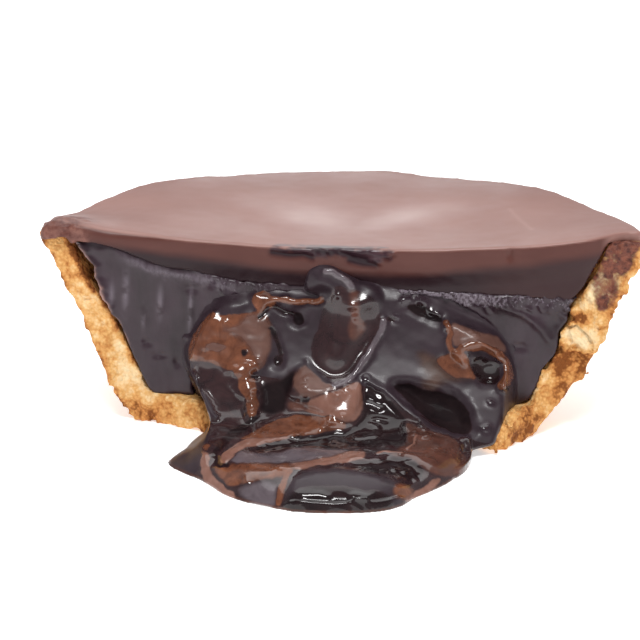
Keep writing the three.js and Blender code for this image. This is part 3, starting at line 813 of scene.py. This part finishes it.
# where a small bead catches the light: middle and size
BEADS = [(-16.1, 7.4, 0.4), (-14.9, 6.8, 0.5), (-15.3, 5.3, 0.45), (-14.8, 4.3, 0.3), (-14.3, 3.6, 0.35),
    (-13.8, 3, 0.35), (-13.1, 2.3, 0.3), (-12.8, 1.2, 0.35), (-12.4, 0, 0.35), (-12, -1, 0.3),
    (-11.3, 0.1, 0.35), (-11.7, 3.4, 0.5), (-12.4, 2.5, 0.45), (-12.2, 8.1, 0.45), (-12.9, 8.5, 0.3),
    (-11.7, 9.4, 0.3), (-13.6, 10.5, 0.5), (-16.9, 15.6, 0.3), (-18.4, 17.3, 0.35), (0, 19.9, 0.45),
    (-2.9, 19.4, 0.35), (-4.5, 19.1, 0.3), (-5.5, 19, 0.3), (-8.4, 20.1, 0.3), (-7.6, 20, 0.3),
    (-12.3, 20.2, 0.35), (2.6, 18.3, 0.35), (2.9, 16.7, 0.35), (1.8, 4.9, 0.35), (0.6, 3.5, 0.6),
    (1.6, -0.3, 0.4), (-0.5, -0.8, 0.35), (-1, -2, 0.45), (4.6, 6.5, 0.45), (9, 17.2, 0.35),
    (9.8, 20, 0.45), (10.5, 20.2, 0.3), (12.7, 20, 0.65), (14, 18.2, 0.5), (15.2, 18, 0.35),
    (16.4, 15.6, 0.4), (17.7, 11.3, 0.35), (19, 11, 0.55), (19.4, 12, 0.3), (20, 15.5, 0.3),
    (20.8, 14.7, 0.3), (22.6, 9.5, 0.4), (23.4, 9.4, 0.4), (24.2, 10.7, 0.35), (21.5, 7.7, 0.3),
    (25.4, 6, 0.35), (23.1, 3.2, 0.4), (22.4, -1.2, 0.45), (19.3, -3, 0.35), (12.4, -2.7, 0.35),
    (13.7, -3.1, 0.4), (14.4, -3.2, 0.4), (8.6, -10.4, 0.35), (9.9, -9.9, 0.4), (11.3, -10.3, 0.3),
    (-4.6, -3.8, 0.4), (-10.4, -13, 0.35), (-6, -10.6, 0.3), (-4.4, 4.9, 0.35), (-4.3, 6.3, 0.3)]
# bulges of the molten centre on the cut face, over x and z: middle, half widths, how far they hang out
BULGES = [(-18, 15.5, 3.6, 3.6, 0.9), (20, 15, 4.4, 3, 0.9)]
PUDDLE_HEIGHT, PUDDLE_EDGE = 3.7, 2.6
SAUCE_STEP, CHART_STEP = 0.26, 0.2
CHART_ACROSS, CHART_UP = np.arange(-27, 29, CHART_STEP), np.arange(-20, 27, CHART_STEP)
SPOT_SOFTNESS, STRAND_SOFTNESS = 0.25, 0.2
TONES = ("brown", "light", "skin", "grey", "painted_sheen", "dark", "deep", "warm", "haze", "pit")


def dome(within, edge):
    """A round rise from an edge: 0 outside, 1 further in than the edge's width."""
    full = np.clip(within / edge, 0, 1)
    return np.sqrt(np.maximum(0, 1 - (1 - full) ** 2))


def molten_depth_in(x, z):
    return inside_outline(x, z, MOLTEN)


def blur(chart, passes):
    """A flat chart of numbers, evened out."""
    for _ in range(passes):
        for axis in (0, 1):
            edge = [(1, 1) if i == axis else (0, 0) for i in (0, 1)]
            p = np.pad(chart, edge, mode="edge")
            one, two = (p[:-2], p[2:]) if axis == 0 else (p[:, :-2], p[:, 2:])
            chart = 0.5 * chart + 0.25 * (one + two)
    return chart


def near_chart(places, margin=3.0):
    """The stretch of the sauce's chart that lies round some places, and its two coordinates."""
    low, high = np.min(places, 0) - margin, np.max(places, 0) + margin
    box = (slice(*np.searchsorted(CHART_ACROSS, (low[0], high[0]))),
           slice(*np.searchsorted(CHART_UP, (low[1], high[1]))))
    return box, *np.meshgrid(CHART_ACROSS[box[0]], CHART_UP[box[1]], indexing="ij")


def draw_charts():
    """The sauce's relief and tones, laid out flat."""
    charts = {key: np.zeros((len(CHART_ACROSS), len(CHART_UP))) for key in TONES + ("relief", "wet")}

    def draw(tone, rise, box, depth, softness):
        charts["relief"][box] += rise * ramp(depth, -0.8 - 0.4 * abs(rise), 0.9 + 0.6 * abs(rise))
        share = ramp(depth, -softness, softness)
        for other in TONES if tone else ():
            charts[other][box] = charts[other][box] * (1 - share) + (share if other == tone else 0)

    def wet(box, depth, softness):
        charts["wet"][box] = np.maximum(charts["wet"][box], ramp(depth, 0, softness))

    for tone, rise, softness, outline in AREAS.values():
        box, u, v = near_chart(outline)
        draw(tone, rise, box, inside_outline(u, v, outline, 2), softness)
    for tone, rise, wide, line in STRANDS:
        box, u, v = near_chart(line)
        away = line_distance((u, v), smooth_line(line))
        charts["relief"][box] += rise * bell(away, wide)
        draw(tone, 0, box, wide - away, STRAND_SOFTNESS)
        if not tone:
            wet(box, 2 * wide - away, 0.4)
    for tone, rise, at_u, at_v, wide, tall in SPOTS:
        box, u, v = near_chart([(at_u, at_v)])
        depth = (1 - np.hypot((u - at_u) / wide, (v - at_v) / tall)) * min(wide, tall)
        draw(tone, rise, box, depth, SPOT_SOFTNESS)
    for at_u, at_v, size in BEADS:
        box, u, v = near_chart([(at_u, at_v)])
        away = np.hypot(u - at_u, v - at_v)
        charts["relief"][box] += size * bell(away, size)
        wet(box, 2.2 * size - away, 0.5)
    return charts


def sheet_depth(x, z):
    """How far the molten centre hangs out of the cut face, over x and z."""
    slump = 1.4 + 14.7 * np.maximum(0, (SAUCE_TOP - z) / SAUCE_TOP) ** 1.8
    depth = slump * (1 - 0.3 * ((x - SAUCE_MIDDLE) / SAUCE_HALF) ** 2)
    depth = depth + 1.2 * ramp(x, 14, 21) * ramp(9 - z, 0, 5) + mounds(x, z, BULGES)
    lean = ramp(molten_depth_in(x, z), -0.3, 2.2) * np.maximum(depth, 0.4)
    tongue = 1.6 * dome(inside_outline(x, z, TONGUE), 2.8) * (1 - ramp(z, 8.0, 11.5))
    drip = inside_outline(x, z, DRIP)
    hanging = 1.5 * ramp(z, 18, 23) * (1 - lean / 4) + 1.4 * ramp(drip, -0.3, 3)
    return blur(lean + tongue + (drip > 0) * hanging, 2)


def puddle_height(x, y):
    """The top of the sauce that lies in front of the cut; it falls on below the floor outside the puddle."""
    within = blur(inside_outline(x, y, PUDDLE), 6)
    height = PUDDLE_HEIGHT - 1.5 * ramp(-x, 17.5, 21.0)
    crown = height * (1 - np.exp(-(np.maximum(within, 0) / PUDDLE_EDGE) ** 1.15))
    return crown - 1.2 * ramp(-within, -0.2, 0.6) - 0.6 * np.clip(-within, 0, 3)


def steepness(height, first, second):
    """What a height map's field is divided by to be near a true distance."""
    du = np.gradient(height, first.ravel(), axis=0)
    dv = np.gradient(height, second.ravel(), axis=1)
    return np.sqrt(1 + np.minimum(du ** 2 + dv ** 2, 9))


def sauce_field(x, y, z):
    flat_x, flat_y, flat_z = x[:, 0, 0], y[0, :, 0], z[0, 0, :]
    fx, fz = np.meshgrid(flat_x, flat_z, indexing="ij")
    depth = sheet_depth(fx, fz)
    shown = np.maximum(molten_depth_in(fx, fz) + 1.0, inside_outline(fx, fz, DRIP))
    front = ((-0.2 - depth)[:, None, :] - y) / steepness(depth, flat_x, flat_z)[:, None, :]
    back = y - (MOLTEN_DEPTH * sauce_fullness(fx, fz) + 0.3)[:, None, :]
    sheet = soft_max(soft_max(front, back, 0.4), -shown[:, None, :], 0.4)
    gx, gy = np.meshgrid(flat_x, flat_y, indexing="ij")
    height = puddle_height(gx, gy)
    pool = (z - height[:, :, None]) / steepness(height, flat_x, flat_y)[:, :, None]
    pool = soft_max(pool, -inside_outline(gx, gy, PUDDLE)[:, :, None], 0.3)
    body = soft_min(sheet, pool, 3.5)
    crust_floor = np.where((y > crust_front(x, z) + 0.8) & (z < FLOOR - 0.6), 0.8, -9)
    return np.maximum(np.maximum(body, crust_floor), -z)


def sauce_relief(points):
    """A slight unevenness, stronger on the rough patch at the left of the cut face."""
    face = ramp(points[:, 2], 4, 7)
    patch = bell(points[:, 0] + 18, 4) * bell(points[:, 2] - 15.5, 4)
    return noise(points, 4.5, 81) * 0.14 + noise(points, 1.4, 82) * (0.03 + 0.25 * patch) * face


def on_chart(chart, points):
    """A chart's values at places on the sauce, read a little off, so that no outline is too clean."""
    u = points[:, 0] + 0.35 * layers(points, 3.0, 91, 3)
    v = points[:, 2] + 0.5 * points[:, 1] + 0.35 * layers(points, 2.4, 96, 3)
    i = np.clip((u - CHART_ACROSS[0]) / CHART_STEP, 0, chart.shape[0] - 1.001)
    j = np.clip((v - CHART_UP[0]) / CHART_STEP, 0, chart.shape[1] - 1.001)
    a, b = i.astype(int), j.astype(int)
    i, j = i - a, j - b
    return ((chart[a, b] * (1 - i) + chart[a + 1, b] * i) * (1 - j)
            + (chart[a, b + 1] * (1 - i) + chart[a + 1, b + 1] * i) * j)


def sauce_masks(points, charts):
    """The share of each tone. The sauce is brown where it thins out on the floor."""
    masks = {tone: on_chart(charts[tone], points) for tone in TONES + ("wet",)}
    masks["brown"] = np.maximum(masks["brown"], 0.5 * (1 - ramp(points[:, 2], 0.2, 0.7)))
    return masks


def build_sauce():
    places = even(-26.6, 29.4, SAUCE_STEP), even(-36.6, 8.8, SAUCE_STEP), even(-0.5, 27.4, SAUCE_STEP)
    axes = grid(*places)
    charts = draw_charts()
    field = sauce_field(*axes).astype(np.float32)
    field = roughen(field, axes, 2.4, lambda points: -on_chart(charts["relief"], points))
    field = roughen(field, axes, 0.8, sauce_relief)
    field = np.maximum(field, -axes[2])
    points, faces = net(field, places)
    piece = make_piece("sauce_molten", points, faces, sauce_material(), sauce_masks(points, charts))
    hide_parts("sauce")


# ---------------------------------------------------------------- materials
class Nodes:
    """A material's node tree, with short names for the nodes that are used here."""

    def __init__(self, name, **sockets):
        self.material = bpy.data.materials.new(name)
        self.material.use_nodes = True
        self.tree = self.material.node_tree
        self.shader = self.tree.nodes["Principled BSDF"]
        self.place = self.tree.nodes.new("ShaderNodeTexCoord").outputs["Object"]
        for key, value in sockets.items():
            self.shader.inputs[key.replace("_", " ")].default_value = value

    def join(self, source, target):
        """Sets a socket to a number or a colour, or links another socket to it."""
        if isinstance(source, (int, float)):
            target.default_value = source
        elif isinstance(source, tuple):
            target.default_value = (*source, 1)
        else:
            self.tree.links.new(source, target)

    def give(self, key, source):
        """Gives the shader one of its inputs."""
        self.join(source, self.shader.inputs[key])

    def mask(self, name):
        node = self.tree.nodes.new("ShaderNodeAttribute")
        node.attribute_name = name
        return node.outputs["Fac"]

    def noise(self, size_mm, detail=3.0, rough=0.5, stretch=None, twist=0.0):
        """Noise whose lumps are about size_mm across, from 0 to 1."""
        node = self.tree.nodes.new("ShaderNodeTexNoise")
        node.inputs["Scale"].default_value = 1000 / size_mm
        node.inputs["Detail"].default_value = detail
        node.inputs["Roughness"].default_value = rough
        node.inputs["Distortion"].default_value = twist
        self.join(self.place if stretch is None else self.stretched(stretch), node.inputs["Vector"])
        return node.outputs["Fac"]

    def stretched(self, scale):
        node = self.tree.nodes.new("ShaderNodeMapping")
        node.inputs["Scale"].default_value = scale
        self.join(self.place, node.inputs["Vector"])
        return node.outputs["Vector"]

    def pores(self, size_mm):
        node = self.tree.nodes.new("ShaderNodeTexVoronoi")
        node.inputs["Scale"].default_value = 1000 / size_mm
        self.join(self.place, node.inputs["Vector"])
        return node.outputs["Distance"]

    def math(self, kind, a, b=0.0, c=0.0):
        node = self.tree.nodes.new("ShaderNodeMath")
        node.operation = kind
        for value, socket in zip((a, b, c), node.inputs):
            self.join(value, socket)
        return node.outputs[0]

    def add(self, a, b):
        return self.math("ADD", a, b)

    def times(self, a, b):
        return self.math("MULTIPLY", a, b)

    def between(self, value, low, high, first=0.0, last=1.0):
        """A smooth step from first to last as the value goes from low to high."""
        node = self.tree.nodes.new("ShaderNodeMapRange")
        node.interpolation_type = "SMOOTHSTEP"
        ends = {"Value": value, "From Min": low, "From Max": high, "To Min": first, "To Max": last}
        for key, source in ends.items():
            self.join(source, node.inputs[key])
        return node.outputs["Result"]

    def mix(self, first, second, share, kind="RGBA"):
        node = self.tree.nodes.new("ShaderNodeMix")
        node.data_type = kind
        self.join(share, node.inputs["Factor"])
        self.join(first, node.inputs["A"])
        self.join(second, node.inputs["B"])
        return node.outputs["Result"]

    def ramp(self, value, *stops):
        """A colour for each value: stops are (place, (red, green, blue))."""
        node = self.tree.nodes.new("ShaderNodeValToRGB")
        points = node.color_ramp.elements
        while len(points) < len(stops):
            points.new(0.5)
        for point, (place, colour) in zip(points, stops):
            point.position = place
            point.color = (*colour, 1)
        self.join(value, node.inputs["Fac"])
        return node.outputs["Color"]

    def shade(self, value, first, last, low=0.3, high=0.7):
        """A colour that goes from first to last as the value goes from low to high."""
        return self.ramp(value, (low, first), (high, last))

    def bump(self, height, strength, depth_mm):
        node = self.tree.nodes.new("ShaderNodeBump")
        node.inputs["Strength"].default_value = strength
        node.inputs["Distance"].default_value = depth_mm * TO_METRES
        self.join(height, node.inputs["Height"])
        self.join(node.outputs["Normal"], self.shader.inputs["Normal"])


PALE_CREAM, CREAM, GOLD = (0.96, 0.76, 0.46), (0.93, 0.64, 0.33), (0.80, 0.44, 0.15)
# the last colour serves the charring and the painted shade in the crack
TOAST, BROWN, CRACK_SHADE_AND_CHAR = (0.60, 0.25, 0.068), (0.24, 0.075, 0.016), (0.06, 0.02, 0.008)


def crust_material():
    n = Nodes("crust_pastry", Roughness=0.8, Specular_IOR_Level=0.25)
    speckle = n.noise(0.9, 3, 0.6)
    blotch = n.noise(2.6, 3, 0.6)
    bake = n.add(n.mask("bake"), n.math("MULTIPLY_ADD", blotch, 0.5, -0.25))
    bake = n.add(bake, n.math("MULTIPLY_ADD", speckle, 0.6, -0.3))
    bake = n.add(bake, n.math("MULTIPLY_ADD", n.pores(0.5), 0.3, -0.12))
    colour = n.ramp(bake, (0.0, PALE_CREAM), (0.3, CREAM), (0.55, GOLD), (0.8, TOAST), (1.0, BROWN))
    # charring at the inner edge, and painted shade in the crack
    colour = n.mix(colour, CRACK_SHADE_AND_CHAR, n.mask("char_and_crack_shade"))
    chocolate = n.add(n.mask("chocolate"), n.math("MULTIPLY_ADD", speckle, 0.7, -0.35))
    stain = n.between(chocolate, 0.15, 0.8)
    smeared = n.shade(speckle, (0.070, 0.022, 0.019), (0.23, 0.076, 0.046), 0.35, 0.65)
    n.give("Base Color", n.mix(colour, smeared, stain))
    n.give("Roughness", n.between(stain, 0, 1, 0.82, 0.42))
    n.bump(n.add(n.noise(0.4, 3, 0.6), n.pores(0.6)), 0.9, 0.3)
    return n.material


def filling_material():
    n = Nodes("filling_ganache", Specular_IOR_Level=0.42)
    # a pale colour painted as highlights and glints on the filling
    painted_glint_colour = (0.16, 0.13, 0.155)
    colour = n.shade(n.noise(4.5, 3, 0.55, (1, 1, 0.45)), (0.020, 0.010, 0.014), (0.044, 0.024, 0.034))
    fleck = n.noise(0.8, 3, 0.7, (1.4, 1, 0.8))
    speck = n.noise(0.5, 2, 0.6, (1.3, 1, 0.9))
    colour = n.mix(colour, (0.085, 0.063, 0.076), n.between(n.times(n.mask("torn"), fleck), 0.35, 0.6))
    # painted glints: pale specks on the torn ledge
    colour = n.mix(colour, painted_glint_colour, n.between(n.times(n.mask("torn"), speck), 0.4, 0.55))
    # painted highlight: a lighter line along the ridge under the topping at the left
    ridge = n.times(n.mask("ridge"), n.between(fleck, 0.3, 0.6, 0.4, 0.9))
    colour = n.mix(colour, (0.115, 0.09, 0.11), ridge)
    colour = n.mix(colour, (0.34, 0.19, 0.16), n.mask("lip"))
    # painted highlight along the knife streaks
    n.give("Base Color", n.mix(colour, painted_glint_colour, n.times(n.mask("painted_streak_sheen"), 0.75)))
    n.give("Roughness", n.between(n.noise(2.2, 3, 0.6), 0.3, 0.7, 0.28, 0.42))
    knife_marks = n.noise(1.1, 2, 0.5, (1, 1, 0.14))
    n.bump(n.add(n.times(knife_marks, 0.7), n.times(n.noise(0.5, 2, 0.5), 0.3)), 0.5, 0.12)
    return n.material


def topping_material():
    n = Nodes("topping_chocolate")
    tone = n.noise(16, 3, 0.5)
    band = n.shade(n.noise(5, 3, 0.5, (0.4, 1, 1)), (0.084, 0.027, 0.021), (0.112, 0.040, 0.032))
    rim = n.shade(n.noise(1.1, 3, 0.6), (0.11, 0.036, 0.028), (0.24, 0.105, 0.08), 0.35, 0.65)
    tear = n.noise(1.4, 3, 0.6, (0.35, 1, 1.8))
    smear = n.shade(tear, (0.030, 0.013, 0.019), (0.075, 0.037, 0.044), 0.35, 0.65)
    painted_highlight_share = n.times(n.mask("painted_highlight"), n.between(tone, 0.3, 0.7, 0.4, 0.75))
    rim_share = n.times(n.mask("rim"), n.between(n.noise(1.6, 3, 0.6), 0.3, 0.6, 0.7, 1.0))
    colour = n.shade(tone, (0.272, 0.136, 0.112), (0.318, 0.164, 0.136))
    for paint, share in (
            # painted highlight: lighter patches on the top, a little back from the cut
            ((0.55, 0.42, 0.40), painted_highlight_share),
            # painted shade: the top darker towards the back
            ((0.21, 0.098, 0.080), n.times(n.mask("back"), 0.6)),
            (band, n.mask("band")),
            ((0.022, 0.009, 0.012), n.mask("dark")),
            (rim, rim_share),
            (smear, n.mask("smear")),
            ((0.020, 0.008, 0.012), n.mask("stroke")),
            ((0.42, 0.25, 0.21), n.times(n.mask("scratch"), 0.35))):
        colour = n.mix(colour, paint, share)
    n.give("Base Color", colour)
    n.give("Specular IOR Level", n.between(n.mask("band"), 0, 1, 0.5, 0.26))
    rough = n.between(n.noise(9, 3, 0.5), 0.3, 0.7, 0.34, 0.42)
    n.give("Roughness", n.mix(rough, 0.28, n.mask("smear"), "FLOAT"))
    n.bump(n.noise(9, 2, 0.4), 0.2, 0.25)
    return n.material


def sauce_material():
    n = Nodes("sauce_chocolate", Coat_Roughness=0.05)
    matte = n.math("MAXIMUM", n.mask("pit"), n.times(n.mask("dark"), 0.3))
    matte = n.times(matte, n.math("SUBTRACT", 1.0, n.mask("wet")))
    n.give("Specular IOR Level", n.between(matte, 0, 0.7, 0.36, 0.06))
    flow = n.noise(3.2, 3, 0.55, (0.8, 1, 1.2), 0.8)
    fine = n.noise(2.2, 4, 0.65, None, 0.6)
    colour, rough = n.shade(flow, (0.018, 0.008, 0.010), (0.044, 0.019, 0.020)), 0.16
    # roughness and colour; a later tone covers an earlier one
    tones = {
        "grey": (0.40, n.shade(flow, (0.023, 0.013, 0.018), (0.035, 0.021, 0.028))),
        # painted reflection: a pale blue-grey colour for where the glossy sauce mirrors the bright room
        "painted_sheen": (0.20, n.shade(flow, (0.084, 0.065, 0.074), (0.138, 0.110, 0.123))),
        "dark": (0.12, n.shade(flow, (0.009, 0.004, 0.005), (0.020, 0.009, 0.010))),
        # painted shade: a near-black matte tone for where the sauce sinks in
        "pit": (0.65, n.shade(flow, (0.007, 0.004, 0.005), (0.018, 0.010, 0.011))),
        "skin": (0.34, n.shade(flow, (0.105, 0.048, 0.036), (0.155, 0.078, 0.060))),
        "brown": (0.16, n.shade(fine, (0.070, 0.021, 0.010), (0.215, 0.076, 0.038), 0.28, 0.72)),
        "light": (0.18, n.shade(fine, (0.17, 0.072, 0.048), (0.27, 0.135, 0.102), 0.25, 0.75)),
        "warm": (0.18, n.shade(flow, (0.054, 0.021, 0.015), (0.128, 0.048, 0.033))),
        "haze": (0.32, n.shade(flow, (0.050, 0.025, 0.018), (0.080, 0.042, 0.031))),
        "deep": (0.20, colour),
    }
    streak = n.math("MULTIPLY_ADD", n.noise(1.7, 3, 0.6, None, 1.0), 0.7, 0.65)
    for tone, (roughness, paint) in tones.items():
        share = n.between(n.times(n.mask(tone), streak), 0.1, 0.9)
        colour = n.mix(colour, paint, share)
        rough = n.mix(rough, roughness, share, "FLOAT")
    rough = n.mix(rough, 0.12, n.mask("wet"), "FLOAT")
    n.give("Base Color", colour)
    n.give("Roughness", rough)
    n.give("Coat Weight", n.times(n.between(rough, 0.2, 0.36, 0.5, 0.04), n.between(matte, 0, 0.7, 1.0, 0.2)))
    n.bump(fine, 0.2, 0.08)
    return n.material


# ---------------------------------------------------------------- floor, light, camera
# half the floor's side and where the lights aim, m
GROUND_HALF, MIDDLE = 3.0, (0, 0, 0.012)
# how bright the studio's walls are: low and high on the camera's side, and behind the tart
HORIZON_GLOW, FRONT_GLOW, BACK_GLOW = 0.5, 0.22, 0.5
# place and size in metres, watts
SOFT_BOXES = {
    "top": ((0, 0.25, 0.6), (0.8, 0.6), 2.5),
    "key_left": ((-0.03, -0.32, 0.53), (0.15, 0.12), 1.5),
    "key_right": ((0.08, -0.32, 0.53), (0.09, 0.12), 1.0),
    "back": ((-0.05, 0.75, 0.21), (0.14, 0.04), 0.09),
}
# the camera's place and aim in metres, and its lens and sensor in millimetres
CAMERA_PLACE, CAMERA_AIM = Vector((0.02104, -0.29209, 0.10100)), Vector((-0.00271, -0.00507, 0.01700))
LENS, SENSOR = 111.77, 36


def build_floor():
    mesh = bpy.data.meshes.new("floor")
    corners = [(x * GROUND_HALF, y * GROUND_HALF, 0) for x, y in ((-1, -1), (1, -1), (1, 1), (-1, 1))]
    mesh.from_pydata(corners, [], [(0, 1, 2, 3)])
    n = Nodes("floor_white", Roughness=0.9, Specular_IOR_Level=0.0)
    n.give("Base Color", n.shade(n.noise(300, 2, 0.5), (0.90, 0.90, 0.90), (0.92, 0.92, 0.92), 0, 1))
    n.give("Emission Color", (1, 1, 1))
    n.give("Emission Strength", 0.5)
    mesh.materials.append(n.material)
    floor = bpy.data.objects.new("floor", mesh)
    bpy.context.scene.collection.objects.link(floor)


def aimed(name, data, place, aim):
    """A light or a camera at a place, facing what it aims at."""
    holder = bpy.data.objects.new(name, data)
    holder.location = place
    holder.rotation_euler = (Vector(aim) - Vector(place)).to_track_quat("-Z", "Y").to_euler()
    bpy.context.scene.collection.objects.link(holder)
    return holder


def soft_box(name, place, size, power):
    light = bpy.data.lights.new(name, "AREA")
    light.shape = "RECTANGLE"
    light.size, light.size_y = size
    light.energy = power
    aimed(name, light, place, MIDDLE)


def build_light():
    world = bpy.data.worlds.new("studio")
    world.use_nodes = True
    tree = world.node_tree
    background = tree.nodes["Background"]
    direction = tree.nodes.new("ShaderNodeSeparateXYZ")
    tree.links.new(tree.nodes.new("ShaderNodeTexCoord").outputs["Generated"], direction.inputs[0])

    def rising(axis, low, high, first, last):
        node = tree.nodes.new("ShaderNodeMapRange")
        node.interpolation_type = "SMOOTHSTEP"
        tree.links.new(direction.outputs[axis], node.inputs["Value"])
        for key, value in (("From Min", low), ("From Max", high), ("To Min", first), ("To Max", last)):
            node.inputs[key].default_value = value
        return node

    wall = rising("Z", 0.0, 0.55, HORIZON_GLOW, FRONT_GLOW)
    strength = rising("Y", -0.3, 0.8, 0.0, BACK_GLOW)
    tree.links.new(wall.outputs["Result"], strength.inputs["To Min"])
    tree.links.new(strength.outputs["Result"], background.inputs["Strength"])
    background.inputs["Color"].default_value = (1.0, 0.97, 1.0, 1)
    bpy.context.scene.world = world
    for name, (place, size, power) in SOFT_BOXES.items():
        soft_box(name, place, size, power)


def build_camera():
    camera = bpy.data.cameras.new("camera")
    camera.sensor_width, camera.lens, camera.clip_start = SENSOR, LENS, 0.01
    bpy.context.scene.camera = aimed("camera", camera, CAMERA_PLACE, CAMERA_AIM)


def build_scene():
    build_camera()
    build_light()
    build_floor()
    build_crust()
    build_filling()
    build_topping()
    build_sauce()
    bpy.context.scene.view_settings.view_transform = "Standard"


build_scene()
